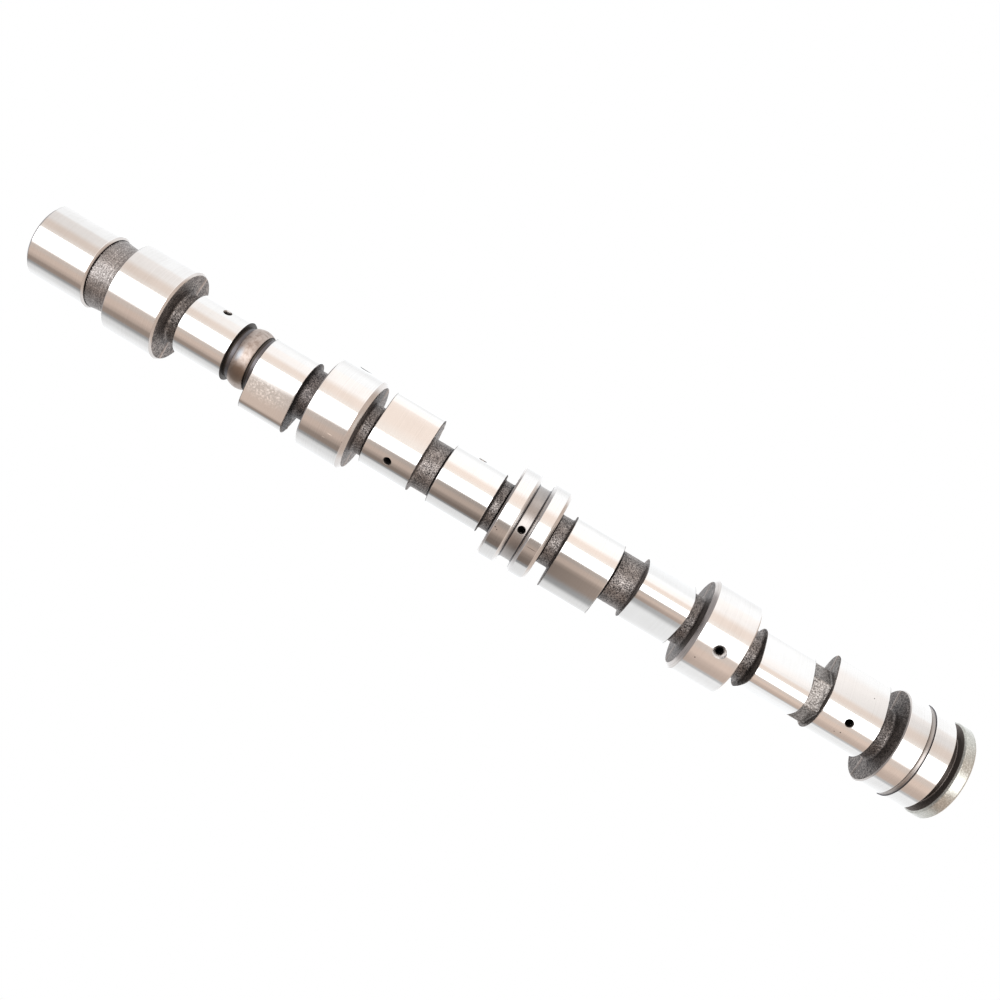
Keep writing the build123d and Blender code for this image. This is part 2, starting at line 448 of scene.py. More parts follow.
@dataclass(frozen=True)
class Patch:
    """A small region of the surface, round a point on it, in millimetres and degrees."""

    height: float
    azimuth: float
    radius: float
    along: float
    around: float
    depth: float = 2.5

    def mask(self, tree: Tree, place_on: Source, soft: float) -> Source:
        """Marks the region.

        Args:
            tree: The node tree.
            place_on: Coordinates in metres.
            soft: Share of its size over which it fades out.

        Returns:
            One inside, zero outside.
        """
        turn = math.radians(self.azimuth)
        centre = (self.radius * math.cos(turn), self.radius * math.sin(turn), self.height)
        inputs = {
            "Vector": place_on,
            "Location": [c * MM for c in centre],
            "Rotation": (0.0, 0.0, turn),
            "Scale": (self.depth * MM, self.around * MM, self.along * MM),
        }
        local = add_node(tree, "ShaderNodeMapping", inputs, vector_type="TEXTURE")
        reach = add_node(tree, VECTOR, (local,), operation="LENGTH")
        return add_node(tree, RANGE, (reach, 1.0 - soft, 1.0, 1.0, 0.0))


@dataclass(frozen=True)
class GroundIron:
    """Chilled iron ground and polished between centres.

    The wheel leaves hair lines round the shaft and a mirror across them, so the studio shows as
    crisp bands along the shaft, barely ruffled by the wheel's chatter. The hair lines are far
    finer than a render can show and are drawn as coarse as it needs. A stain dulls the mirror
    in blotches, and a pit shows as a dark speck. A pit patch can also be painted shade, and a
    scratch patch a painted highlight.
    """

    name: str = "ground_chilled_iron"
    colour: str = "#C6C3C0"
    line_colour: str = "#B4AFAB"
    line_pitch: float = 0.55
    roughness: float = 0.1
    line_depth: float = 0.0005
    cloud_size: float = 6.0
    wave_length: float = 14.0
    wave_height: float = 0.005
    stain: float = 0.0
    stain_size: float = 2.6
    stain_range: tuple[float, float] = (0.45, 0.65)
    stain_colour: str = "#9A8C84"
    stain_roughness: float = 0.45
    stain_patch: Patch | None = None
    pits_and_shade: tuple[Patch, ...] = ()
    pit_and_shade_colour: str = "#2E2420"
    scratches_and_highlights: tuple[Patch, ...] = ()
    scratch_and_highlight_colour: str = "#F4F0EC"

    def build(self) -> bpy.types.Material:
        """Builds the material.

        Returns:
            The new material.
        """
        material, place_on = new_material(self.name)
        tree = material.node_tree
        axes = add_node(tree, AXES, (place_on,))
        inputs = {"W": axes.outputs["Z"], "Scale": per_metre(self.line_pitch), "Detail": 3.0}
        hair = add_node(tree, NOISE, inputs, noise_dimensions="1D")
        inputs = {"Vector": place_on, "Scale": per_metre(self.cloud_size), "Detail": 2.0}
        clouds = add_node(tree, NOISE, inputs)
        strength = add_node(tree, MATH, (hair, clouds), operation="MULTIPLY")
        inputs = {0: strength, 6: linear(self.colour), 7: linear(self.line_colour)}
        colour = add_node(tree, MIX, inputs, data_type="RGBA")
        rough: Source = self.roughness
        if self.stain > 0.0:
            inputs = {"Vector": place_on, "Scale": per_metre(self.stain_size), "Detail": 5.0}
            blotch = add_node(tree, NOISE, inputs)
            mask = add_node(tree, RANGE, (blotch, *self.stain_range, 0.0, self.stain))
            if self.stain_patch is not None:
                inside = self.stain_patch.mask(tree, place_on, 0.6)
                mask = add_node(tree, MATH, (mask, inside), operation="MULTIPLY")
            inputs = {0: mask, 6: colour, 7: linear(self.stain_colour)}
            colour = add_node(tree, MIX, inputs, data_type="RGBA")
            rough = add_node(tree, RANGE, (mask, 0.0, 1.0, self.roughness, self.stain_roughness))
        marks = [(pit.mask(tree, place_on, 0.5), self.pit_and_shade_colour) for pit in self.pits_and_shade]
        marks += [(line.mask(tree, place_on, 0.8), self.scratch_and_highlight_colour) for line in self.scratches_and_highlights]
        for mark, shade in marks:
            inputs = {0: mark, 6: colour, 7: linear(shade)}
            colour = add_node(tree, MIX, inputs, data_type="RGBA")
        inputs = {"Strength": 1.0, "Distance": self.line_depth * MM, "Height": hair}
        fine = add_node(tree, BUMP, inputs)
        inputs = {"Vector": place_on, "Scale": per_metre(self.wave_length), "Detail": 1.0}
        wave = add_node(tree, NOISE, inputs)
        inputs = {"Strength": 1.0, "Distance": self.wave_height * MM, "Height": wave}
        relief = add_node(tree, BUMP, {**inputs, "Normal": fine})
        return close_material(material, colour, rough, relief)


@dataclass(frozen=True)
class CastSkin:
    """Grey iron as it left a sand mould.

    A dark, coarse skin with the grain of the sand, lighter on the crests where handling has
    rubbed it, with painted highlights on the highest grains, painted shade that blackens the
    corners, and rubbed along the mould's joint.
    """

    name: str = "sand_cast_iron"
    hollow_colour: str = "#322E2D"
    crest_colour: str = "#8C847F"
    glint_colour: str = "#B4ADA7"
    corner_shade_colour: str = "#0D0B0B"
    grain: float = 0.5
    relief: float = 0.08
    roughness: float = 0.5
    patch_size: float = 4.0
    crest_range: tuple[float, float] = (0.5, 0.8)
    glint_range: tuple[float, float] = (0.82, 0.94)
    corner_shade_range: tuple[float, float] = (0.4, 0.82)
    corner_shade: float = 0.93
    corner_reach: float = 3.0
    turning: float = 0.0
    tool_pitch: float = 0.7
    seam_colour: str = "#AC9F97"
    seam_width: float = 2.3
    seam: float = 0.85

    def rubbed(self, tree: Tree, place_on: Source, seam_angles: Sequence[float]) -> Source:
        """Marks the lines of the mould's joint.

        Args:
            tree: The node tree.
            place_on: Coordinates in metres.
            seam_angles: Angles about Z, in degrees, at which the mould's halves met.

        Returns:
            One on the joint, zero elsewhere.
        """
        total: Source = 0.0
        half = self.seam_width / 2 * MM
        for angle in seam_angles:
            x, y = math.cos(math.radians(angle)), math.sin(math.radians(angle))
            reach = add_node(tree, VECTOR, (place_on, (x, y, 0.0)), operation="DOT_PRODUCT")
            offset = add_node(tree, VECTOR, (place_on, (-y, x, 0.0)), operation="DOT_PRODUCT")
            distance = add_node(tree, MATH, (offset,), operation="ABSOLUTE")
            near = add_node(tree, RANGE, (distance, half * 0.1, half * 1.2, self.seam, 0.0))
            side = add_node(tree, MATH, (reach, 0.0), operation="GREATER_THAN")
            total = add_node(tree, MATH, (near, side, total), operation="MULTIPLY_ADD")
        return total

    def build(self, seam_angles: Sequence[float]) -> bpy.types.Material:
        """Builds the material.

        Args:
            seam_angles: Angles about Z, in degrees, at which the mould's halves met.

        Returns:
            The new material.
        """
        material, place_on = new_material(self.name)
        tree = material.node_tree
        inputs = {"Vector": place_on, "Scale": per_metre(self.grain), "Detail": 3.0}
        grain = add_node(tree, NOISE, inputs)
        inputs = {"Vector": place_on, "Scale": per_metre(self.patch_size), "Detail": 2.0}
        patches = add_node(tree, NOISE, inputs)
        level = add_node(tree, MATH, (patches, 0.3, grain), operation="MULTIPLY_ADD")
        if self.turning > 0.0:
            axes = add_node(tree, AXES, (place_on,))
            inputs = {"W": axes.outputs["Z"], "Scale": per_metre(self.tool_pitch), "Detail": 2.0}
            tool = add_node(tree, NOISE, inputs, noise_dimensions="1D")
            mark = add_node(tree, RANGE, (tool, 0.3, 0.7, -self.turning / 2, self.turning / 2))
            level = add_node(tree, MATH, (level, mark), operation="ADD")
        # Painted shade: ambient occlusion within the corner reach blends in the corner shade
        # colour.
        reach = {"Distance": self.corner_reach * MM}
        corner = add_node(tree, "ShaderNodeAmbientOcclusion", reach, samples=6).outputs["AO"]
        worn = add_node(tree, RANGE, (patches, 0.3, 0.6, 0.45, 1.0))
        joint = (self.rubbed(tree, place_on, seam_angles), worn)
        skin: Source | tuple = linear(self.hollow_colour)
        # The glint colour is a painted highlight on the highest grains.
        for share, colour in (
            (add_node(tree, RANGE, (level, *self.crest_range, 0.0, 1.0)), self.crest_colour),
            (add_node(tree, RANGE, (level, *self.glint_range, 0.0, 1.0)), self.glint_colour),
            (add_node(tree, RANGE, (corner, *self.corner_shade_range, self.corner_shade, 0.0)), self.corner_shade_colour),
            (add_node(tree, MATH, joint, operation="MULTIPLY"), self.seam_colour),
        ):
            skin = add_node(tree, MIX, {0: share, 6: skin, 7: linear(colour)}, data_type="RGBA")
        dull, bright = self.roughness + 0.1, self.roughness - 0.05
        rough = add_node(tree, RANGE, (grain, 0.3, 0.7, dull, bright))
        inputs = {"Strength": 1.0, "Distance": self.relief * MM, "Height": grain}
        return close_material(material, skin, rough, add_node(tree, BUMP, inputs))


@dataclass(frozen=True)
class OilWay:
    """The wall of a drilled oil way, painted black as shade, so a hole reads as an opening."""

    name: str = "shade_black_drilled_iron"
    colour: str = "#0C0A09"
    streak_colour: str = "#1D1816"
    streak_size: float = 0.8
    relief: float = 0.02
    roughness: float = 0.5
    metallic: float = 0.6

    def build(self) -> bpy.types.Material:
        """Builds the material.

        Returns:
            The new material.
        """
        material, place_on = new_material(self.name)
        tree = material.node_tree
        inputs = {"Vector": place_on, "Scale": per_metre(self.streak_size), "Detail": 2.0}
        streak = add_node(tree, NOISE, inputs)
        inputs = {0: streak, 6: linear(self.colour), 7: linear(self.streak_colour)}
        colour = add_node(tree, MIX, inputs, data_type="RGBA")
        inputs = {"Strength": 1.0, "Distance": self.relief * MM, "Height": streak}
        relief = add_node(tree, BUMP, inputs)
        return close_material(material, colour, self.roughness, relief, self.metallic)


@dataclass
class Finishes:
    """Every finish of the shaft, built once and shared by its pieces."""

    ground: bpy.types.Material
    cam: bpy.types.Material
    mottled_cam: bpy.types.Material
    turned: bpy.types.Material
    stained: bpy.types.Material
    shaded_groove: bpy.types.Material
    black: bpy.types.Material
    groove: bpy.types.Material
    broken: bpy.types.Material
    thrust: bpy.types.Material
    grained: bpy.types.Material
    skin: bpy.types.Material
    light_skin: bpy.types.Material
    dark_skin: bpy.types.Material
    hexagon_skin: bpy.types.Material
    pitch: bpy.types.Material
    oil_way: bpy.types.Material


# ---------------------------------------------------------------------------------------------
# The shaft
# ---------------------------------------------------------------------------------------------


@dataclass(frozen=True)
class CamProfile:
    """Outline of a lobe with its nose on +X: base circle, two convex flanks and a nose."""

    base_radius: float = 13.0
    lift: float = 6.0
    nose_radius: float = 7.0
    flank_radius: float = 60.0
    base_steps: int = 190
    flank_steps: int = 36
    nose_steps: int = 44

    def shrunk(self, by: float) -> "CamProfile":
        """The same outline, moved in all round.

        Args:
            by: How far in, in millimetres.

        Returns:
            The smaller outline.
        """
        return CamProfile(
            self.base_radius - by, self.lift, self.nose_radius - by, self.flank_radius - by
        )

    def arcs(self) -> list[tuple[tuple[float, float], float, int]]:
        """Centre, sweep in radians and steps of the four arcs, from the end of the upper flank."""
        nose_x = self.base_radius + self.lift - self.nose_radius
        to_base = self.flank_radius - self.base_radius
        to_nose = self.flank_radius - self.nose_radius
        turn = math.acos((nose_x**2 + to_base**2 - to_nose**2) / (2 * nose_x * to_base))
        flank = (to_base * math.cos(turn), to_base * math.sin(turn))
        base_angle = math.pi - turn
        nose_angle = math.atan2(flank[1], nose_x - flank[0])
        return [
            ((0.0, 0.0), 2 * math.pi - 2 * base_angle, self.base_steps),
            (flank, base_angle - nose_angle, self.flank_steps),
            ((nose_x, 0.0), 2 * nose_angle, self.nose_steps),
            ((flank[0], -flank[1]), base_angle - nose_angle, self.flank_steps),
        ]

    def reach_at(self, turn: float) -> float:
        """Distance from the axis to the outline.

        Args:
            turn: Direction from the nose in radians.

        Returns:
            The distance in millimetres.
        """
        turn = abs(math.remainder(turn, 2 * math.pi))
        flank_x, flank_y = self.arcs()[3][0]
        nose_x = self.base_radius + self.lift - self.nose_radius
        base_end = math.atan2(-flank_y, -flank_x)
        tangent = math.atan2(-flank_y, nose_x - flank_x)
        nose_end = math.atan2(
            self.nose_radius * math.sin(tangent), nose_x + self.nose_radius * math.cos(tangent)
        )
        if turn >= base_end:
            return self.base_radius
        x, y, radius = (nose_x, 0.0, self.nose_radius)
        if turn > nose_end:
            x, y, radius = (flank_x, flank_y, self.flank_radius)
        along = x * math.cos(turn) + y * math.sin(turn)
        return along + math.sqrt(along**2 - x**2 - y**2 + radius**2)

    def start(self) -> tuple[float, float]:
        """The point where the upper flank meets the base circle."""
        half = self.arcs()[0][1] / 2
        angle = math.pi - half
        return (self.base_radius * math.cos(angle), self.base_radius * math.sin(angle))

    def slab(self, name: str, heights: Sequence[float]) -> bpy.types.Object:
        """A closed plate of this outline.

        Args:
            name: The piece's name.
            heights: Heights of its rings in millimetres, from its rear face to its front face.

        Returns:
            The new object, with its nose on +X.
        """
        deselect_all()
        x, y = self.start()
        size = 1.0
        bpy.ops.mesh.primitive_plane_add(
            size=size * MM,
            location=((x + size / 2) * MM, (y + size / 2) * MM, heights[0] * MM),
        )
        piece = bpy.context.object
        piece.name = name
        bpy.ops.object.transform_apply(location=True)
        with editing(piece):
            mesh = bmesh.from_edit_mesh(piece.data)
            corner = min(mesh.verts, key=lambda v: (v.co.x + v.co.y))
            for vertex in mesh.verts:
                vertex.select = vertex is not corner
            mesh.select_flush_mode()
            bpy.ops.mesh.delete(type="VERT")
            bpy.ops.mesh.select_all(action="SELECT")
            for (cx, cy), sweep, steps in self.arcs():
                bpy.ops.mesh.spin(
                    steps=steps,
                    angle=sweep,
                    center=(cx * MM, cy * MM, heights[0] * MM),
                    axis=(0.0, 0.0, -1.0),
                )
            bpy.ops.mesh.select_all(action="SELECT")
            bpy.ops.mesh.remove_doubles(threshold=0.02 * MM)
            bpy.ops.mesh.edge_face_add()
            for low, high in zip(heights, heights[1:]):
                bpy.ops.mesh.extrude_region_move(
                    TRANSFORM_OT_translate={"value": (0.0, 0.0, (high - low) * MM)}
                )
        outwards(piece)
        return piece


@dataclass(frozen=True)
class OilHole:
    """A drilled oil hole, square to the axis, with its mouth broken.

    The drill leaves a tip at the bottom and a lip just under the mouth. The wall keeps bright
    metal down to the depth named lit, and below that is painted black as shade.
    """

    height: float
    angle: float
    surface_radius: float
    mouth: float = 0.35
    diameter: float = 3.0
    depth: float = 9.0
    lit: float = 1.5
    tip: float = 0.8
    lip: float = 0.15
    lip_width: float = 0.06
    overshoot: float = 2.0
    margin: float = 0.08

    def cutter(self) -> bpy.types.Object:
        """The closed volume that the drill takes out.

        Returns:
            The cutter, in its place.
        """
        r, top = self.diameter / 2, self.surface_radius
        stations = [
            (r * 0.2, top - self.depth - self.tip),
            (r, top - self.depth),
            (r, top - self.mouth - self.lit),
            (r, top - self.mouth - self.lip),
            (r + self.lip_width, top - self.mouth),
            (r + self.mouth, top),
            (r + self.mouth + self.overshoot, top + self.overshoot),
        ]
        cutter = turned("oil_drill", stations, HOLE_SEGMENTS)
        cutter.rotation_euler = (0.0, math.radians(90.0), math.radians(self.angle))
        cutter.location.z = self.height * MM
        activate(cutter)
        bpy.ops.object.transform_apply(location=True, rotation=True, scale=True)
        return cutter

    def dress(
        self, piece: bpy.types.Object, finishes: Finishes, mouth: bpy.types.Material
    ) -> None:
        """Gives the hole a turned top, a black wall of painted shade, and a finish for its mouth.

        Args:
            piece: The drilled object.
            finishes: The shaft's finishes.
            mouth: The broken mouth's finish.
        """
        turn = math.radians(self.angle)
        out = Vector((math.cos(turn), math.sin(turn), 0.0))
        seat = self.surface_radius - self.mouth

        def within(low: float, high: float, reach: float) -> FaceTest:
            """Makes a test for the wall's faces between two distances from the shaft's axis.

            Args:
                low: The smaller distance.
                high: The larger one.
                reach: How far from the hole's own axis a face may lie.

            Returns:
                The test.
            """

            def inside(centre: Vector, normal: Vector) -> bool:
                """Whether a face belongs to this stretch of the wall.

                Args:
                    centre: The face's centre in millimetres.
                    normal: Its normal.

                Returns:
                    True if it does.
                """
                up = centre.dot(out)
                apart = (centre - out * up - Vector((0.0, 0.0, self.height))).length
                return low < up < high and apart < reach and normal.dot(out) < 0.9

            return inside

        wall = self.diameter / 2 + self.margin
        paint(piece, mouth, within(seat, self.surface_radius, wall + self.mouth))
        paint(piece, finishes.groove, within(seat - self.lit, seat, wall))
        # Painted shade: the wall below the lit depth is black.
        paint(piece, finishes.oil_way, within(0.0, seat - self.lit, wall))


@dataclass(frozen=True)
class Layout:
    """Where everything lies along the shaft, in millimetres from the rear face, which is Z 0.

    Cylinders and journals are numbered from the nose end.
    """

    cylinders: int = 4
    pitch: float = 86.0
    front_journal_diameter: float = 39.45
    journal_step: float = 0.25
    rear_journal_height: float = 18.95
    nose_base: float = 385.55
    length: float = 411.55
    pair_ahead: float = 26.2
    pair_behind: float = 27.5
    pair_gap_ahead: float = 4.3
    pair_gaps: tuple[float, ...] = (12.2, 8.8, 10.7, 8.8)
    firing_order: tuple[int, ...] = (1, 3, 4, 2)
    first_intake_angle: float = 182.0
    lobe_separation: float = 113.0
    first_hole_offset: float = -1.5
    seam_angles: tuple[float, float] = (0.0, 163.0)

    def journal_height(self, number: int) -> float:
        """Height of a bearing's centre line."""
        return self.rear_journal_height + (self.cylinders + 1 - number) * self.pitch

    def journal_radius(self, number: int) -> float:
        """Radius of a bearing journal."""
        return (self.front_journal_diameter + (number - 1) * self.journal_step) / 2

    def cylinder_height(self, cylinder: int) -> float:
        """Height of a cylinder's centre line."""
        return self.rear_journal_height + (self.cylinders - cylinder + 0.5) * self.pitch

    def intake_angle(self, cylinder: int) -> float:
        """Angle of a cylinder's intake nose about the axis."""
        turn = self.firing_order.index(cylinder) * 360.0 / self.cylinders
        return (self.first_intake_angle + turn) % 360.0


@dataclass
class Land:
    """One ground bearing journal."""

    number: int
    height: float
    radius: float
    ahead: float
    behind: float
    front_chamfer: float
    rear_chamfer: float
    hole_angle: float | None = None
    hole_offset: float = 0.0
    shaded_mouth: bool = False
    ring_step: float = 1.6
    edge: float = 0.1
    hole_mouth: float = 1.4
    chamfer_tilt: tuple[float, float] = (0.4, 0.9)

    @property
    def bottom(self) -> float:
        """Height of the rear face."""
        return self.height - self.behind

    @property
    def top(self) -> float:
        """Height of the front face."""
        return self.height + self.ahead

    def stations(self) -> list[Station]:
        """Radius and height of every ring, from the rear face to the front face."""
        low, high = self.bottom + self.rear_chamfer, self.top - self.front_chamfer
        wall = [(self.radius, z) for z in guarded(low, high, self.ring_step)]
        return [
            (self.radius - self.rear_chamfer, self.bottom),
            *wall,
            (self.radius - self.front_chamfer, self.top),
        ]

    def build(self) -> bpy.types.Object:
        """Turns the land and drills its oil hole.

        Returns:
            The new object.
        """
        piece = turned(f"journal_{self.number}", self.stations())
        soften_rings(piece, self.edge)
        if self.hole_angle is not None:
            cut(piece, self.oil_hole().cutter())
        return piece

    def oil_hole(self) -> OilHole:
        """The land's oil hole."""
        middle = (self.bottom + self.top) / 2 + self.hole_offset
        return OilHole(middle, self.hole_angle, self.radius, mouth=self.hole_mouth)

    def dress(self, piece: bpy.types.Object, finishes: Finishes) -> None:
        """Gives the land its ground finish, with turned chamfers and cast side faces.

        Args:
            piece: The built land.
            finishes: The shaft's finishes.
        """
        piece.data.materials.append(finishes.ground)
        least, most = self.chamfer_tilt
        paint(
            piece,
            finishes.turned,
            lambda centre, normal: least < abs(normal.z) < most
            and not self.bottom + self.rear_chamfer < centre.z < self.top - self.front_chamfer,
        )
        paint(
            piece,
            finishes.skin,
            lambda centre, normal: abs(normal.z) > FLAT
            and not self.bottom + ON_FACE < centre.z < self.top - ON_FACE,
        )
        if self.hole_angle is not None:
            # A shaded mouth is painted black as shade.
            mouth = finishes.oil_way if self.shaded_mouth else finishes.broken
            self.oil_hole().dress(piece, finishes, mouth)
        smooth(piece)
        hand_over(piece)


@dataclass
class FeedLand(Land):
    """The centre journal, with the wide groove that takes the oil in."""

    groove_radius: float = 16.0
    groove_width: float = 5.4
    bevel: float = 1.35
    root: float = 0.9
    margin: float = 0.15
    steep: float = 0.33
    bevel_tilt: float = 0.3
    bore: float = 2.8
    bore_mouth: float = 0.3

    def stations(self) -> list[Station]:
        """Radius and height of every ring, the groove included."""
        half = self.groove_width / 2
        floor, z = self.groove_radius, self.height
        low, high = self.bottom + self.rear_chamfer, self.top - self.front_chamfer
        mouth = half + self.bevel
        curve = [
            (floor + self.root * (1 - math.cos(t)), half - self.root * (1 - math.sin(t)))
            for t in (math.radians(a) for a in (90.0, 67.5, 45.0, 22.5, 0.0))
        ]
        lower = [(self.radius, z - mouth), (self.radius - self.bevel, z - half)]
        lower += [(r, z - dz) for r, dz in curve]
        upper = [(r, z + (z - h)) for r, h in reversed(lower)]
        return [
            (self.radius - self.rear_chamfer, self.bottom),
            *[(self.radius, h) for h in guarded(low, z - mouth, self.ring_step)[:-1]],
            *lower,
            *upper,
            *[(self.radius, h) for h in guarded(z + mouth, high, self.ring_step)[1:]],
            (self.radius - self.front_chamfer, self.top),
        ]

    def oil_hole(self) -> OilHole:
        """The oil hole in the groove's floor."""
        return OilHole(
            self.height, self.hole_angle, self.groove_radius, self.bore_mouth, self.bore
        )

    def dress(self, piece: bpy.types.Object, finishes: Finishes) -> None:
        """Dresses the land and gives its groove a rough floor, dark walls of painted shade and
        bright bevels.

        Args:
            piece: The built land.
            finishes: The shaft's finishes.
        """
        super().dress(piece, finishes)
        half = self.groove_width / 2
        low = self.groove_radius - self.margin

        def in_groove(centre: Vector) -> bool:
            """Whether a face lies on the groove's floor or walls."""
            return abs(centre.z - self.height) < half and math.hypot(centre.x, centre.y) > low

        paint(piece, finishes.groove, lambda centre, _: in_groove(centre))
        # Painted shade on the groove's steep walls.
        paint(
            piece,
            finishes.shaded_groove,
            lambda centre, normal: in_groove(centre) and abs(normal.z) > self.steep,
        )
        paint(
            piece,
            finishes.broken,
            lambda centre, normal: half < abs(centre.z - self.height) < half + self.bevel
            and abs(normal.z) > self.bevel_tilt,
        )


@dataclass
class RearLand(Land):
    """The last journal, with a shallow oil groove round its middle."""

    groove_width: float = 2.3
    groove_depth: float = 0.7
    steep: float = 0.55

    def stations(self) -> list[Station]:
        """Radius and height of every ring, the groove included."""
        half, z = self.groove_width / 2, self.height
        low, high = self.bottom + self.rear_chamfer, self.top - self.front_chamfer
        groove = [
            (self.radius - self.groove_depth * math.sin(t), z - half * math.cos(t))
            for t in (math.radians(a) for a in (0, 22.5, 45, 67.5, 90, 112.5, 135, 157.5, 180))
        ]
        return [
            (self.radius - self.rear_chamfer, self.bottom),
            *[(self.radius, h) for h in guarded(low, z - half, self.ring_step)[:-1]],
            *groove,
            *[(self.radius, h) for h in guarded(z + half, high, self.ring_step)[1:]],
            (self.radius - self.front_chamfer, self.top),
        ]

    def dress(self, piece: bpy.types.Object, finishes: Finishes) -> None:
        """Dresses the land and gives its oil groove a turned finish.

        Args:
            piece: The built land.
            finishes: The shaft's finishes.
        """
        super().dress(piece, finishes)
        half = self.groove_width / 2
        paint(piece, finishes.groove, lambda centre, _: abs(centre.z - self.height) < half)
        # Painted shade on the groove's steep walls.
        paint(
            piece,
            finishes.shaded_groove,
            lambda centre, normal: abs(centre.z - self.height) < half
            and abs(normal.z) > self.steep,
        )


@dataclass
class CamLobe:
    """One ground cam lobe."""

    number: int
    bottom: float
    top: float
    nose_angle: float
    profile: CamProfile = field(default_factory=CamProfile)
    hole_offset: float = 0.0
    hole_lag: float = 109.0
    ring_step: float = 1.8
    edge: float = 0.25
    off_track: float = 0.2

    def build(self) -> bpy.types.Object:
        """Makes the lobe, breaks its rims, turns it to its angle and drills its oil hole.

        Returns:
            The new object.
        """
        rings = guarded(self.bottom, self.top, self.ring_step, self.edge + 0.2)
        piece = self.profile.slab(f"lobe_{self.number}", rings)
        soften_rings(piece, self.edge, 40.0)
        place(piece, angle=self.nose_angle)
        cut(piece, self.oil_hole().cutter())
        return piece

    def oil_hole(self) -> OilHole:
        """The oil hole in the base circle."""
        middle = (self.bottom + self.top) / 2 + self.hole_offset
        return OilHole(middle, self.nose_angle - self.hole_lag, self.profile.base_radius)

    def dress(self, piece: bpy.types.Object, finishes: Finishes) -> None:
        """Gives the lobe its ground finish, cast sides and painted black shade in the first pair.

        Args:
            piece: The built lobe.
            finishes: The shaft's finishes.
        """
        cam = finishes.mottled_cam if self.number == 2 else finishes.cam
        piece.data.materials.append(cam)
        edge = self.edge
        paint(
            piece,
            finishes.skin,
            lambda centre, normal: abs(normal.z) > self.off_track
            and not self.bottom + edge < centre.z < self.top - edge,
        )
        # Painted shade: the faces inside the first pair are painted black.
        if self.number in (1, 2):
            inner = self.bottom if self.number == 1 else self.top
            paint(
                piece,
                finishes.black,
                lambda centre, normal: abs(normal.z) > self.off_track
                and abs(centre.z - inner) < edge,
            )
        self.oil_hole().dress(piece, finishes, finishes.groove)
        smooth(piece)
        hand_over(piece)


@dataclass
class NoseEnd:
    """The turned nose, which carries the oil seal and the timing wheel."""

    bottom: float
    top: float
    radius: float = 16.0
    chamfer: float = 0.8
    bolt_radius: float = 4.25
    bolt_depth: float = 32.0
    thread_pitch: float = 1.5
    thread_depth: float = 0.75
    dowel_radius: float = 2.5
    dowel_depth: float = 9.0
    dowel_reach: float = 10.6
    dowel_angle: float = 90.0
    mouth: float = 0.3
    overshoot: float = 1.0
    lit: float = 3.0
    ring_step: float = 1.6
    edge: float = 0.1

    def bolt_cutter(self) -> bpy.types.Object:
        """The threaded hole's volume, with a groove for each turn of the thread.

        Returns:
            The cutter, in its place.
        """
        stations: list[Station] = [(self.bolt_radius * 0.3, self.top - self.bolt_depth - 2.0)]
        height = self.top - self.bolt_depth
        while height < self.top - self.thread_pitch:
            stations.append((self.bolt_radius, height))
            stations.append((self.bolt_radius + self.thread_depth, height + self.thread_pitch / 2))
            height += self.thread_pitch
        stations += [
            (self.bolt_radius, height),
            (self.bolt_radius + self.thread_depth + self.mouth, self.top),
            (
                self.bolt_radius + self.thread_depth + self.mouth + self.overshoot,
                self.top + self.overshoot,
            ),
        ]
        return turned("bolt_drill", stations, BORE_SEGMENTS)

    def dowel_place(self) -> tuple[float, float]:
        """X and Y of the dowel's hole."""
        turn = math.radians(self.dowel_angle)
        return self.dowel_reach * math.cos(turn), self.dowel_reach * math.sin(turn)

    def build(self) -> bpy.types.Object:
        """Turns the nose and drills its two holes.

        Returns:
            The new object.
        """
        r, c = self.radius, self.chamfer
        wall = [(r, z) for z in guarded(self.bottom + c, self.top - c, self.ring_step)]
        piece = turned("nose", [(r - c, self.bottom), *wall, (r - c, self.top)])
        soften_rings(piece, self.edge)
        cut(piece, self.bolt_cutter())
        low = self.top - self.dowel_depth
        dowel = turned(
            "dowel_drill",
            [
                (self.dowel_radius, low),
                (self.dowel_radius, self.top - self.mouth),
                (self.dowel_radius + self.mouth, self.top),
                (self.dowel_radius + self.mouth + self.overshoot, self.top + self.overshoot),
            ],
            HOLE_SEGMENTS,
        )
        x, y = self.dowel_place()
        dowel.location.x, dowel.location.y = x * MM, y * MM
        activate(dowel)
        bpy.ops.object.transform_apply(location=True)
        cut(piece, dowel)
        return piece

    def dress(self, piece: bpy.types.Object, finishes: Finishes) -> None:
        """Gives the nose its ground finish, with a turned front face and a cast rear face.

        Args:
            piece: The built nose.
            finishes: The shaft's finishes.
        """
        piece.data.materials.append(finishes.ground)
        rim, face = self.bottom + self.chamfer, self.top - ON_FACE
        paint(piece, finishes.turned, lambda centre, _: not rim <= centre.z <= face)
        paint(
            piece,
            finishes.skin,
            lambda centre, normal: normal.z < -FLAT and centre.z < self.bottom + ON_FACE,
        )
        # Painted shade: the bolt and dowel holes are black below the depth named lit.
        bolt = self.bolt_radius + self.thread_depth + 0.4
        dowel = self.dowel_radius + self.mouth
        x, y = self.dowel_place()
        paint(
            piece,
            finishes.oil_way,
            lambda centre, _: self.top - self.lit > centre.z > self.bottom + 1.5
            and (
                math.hypot(centre.x, centre.y) < bolt
                or math.hypot(centre.x - x, centre.y - y) < dowel
            ),
        )
        smooth(piece)
        hand_over(piece)


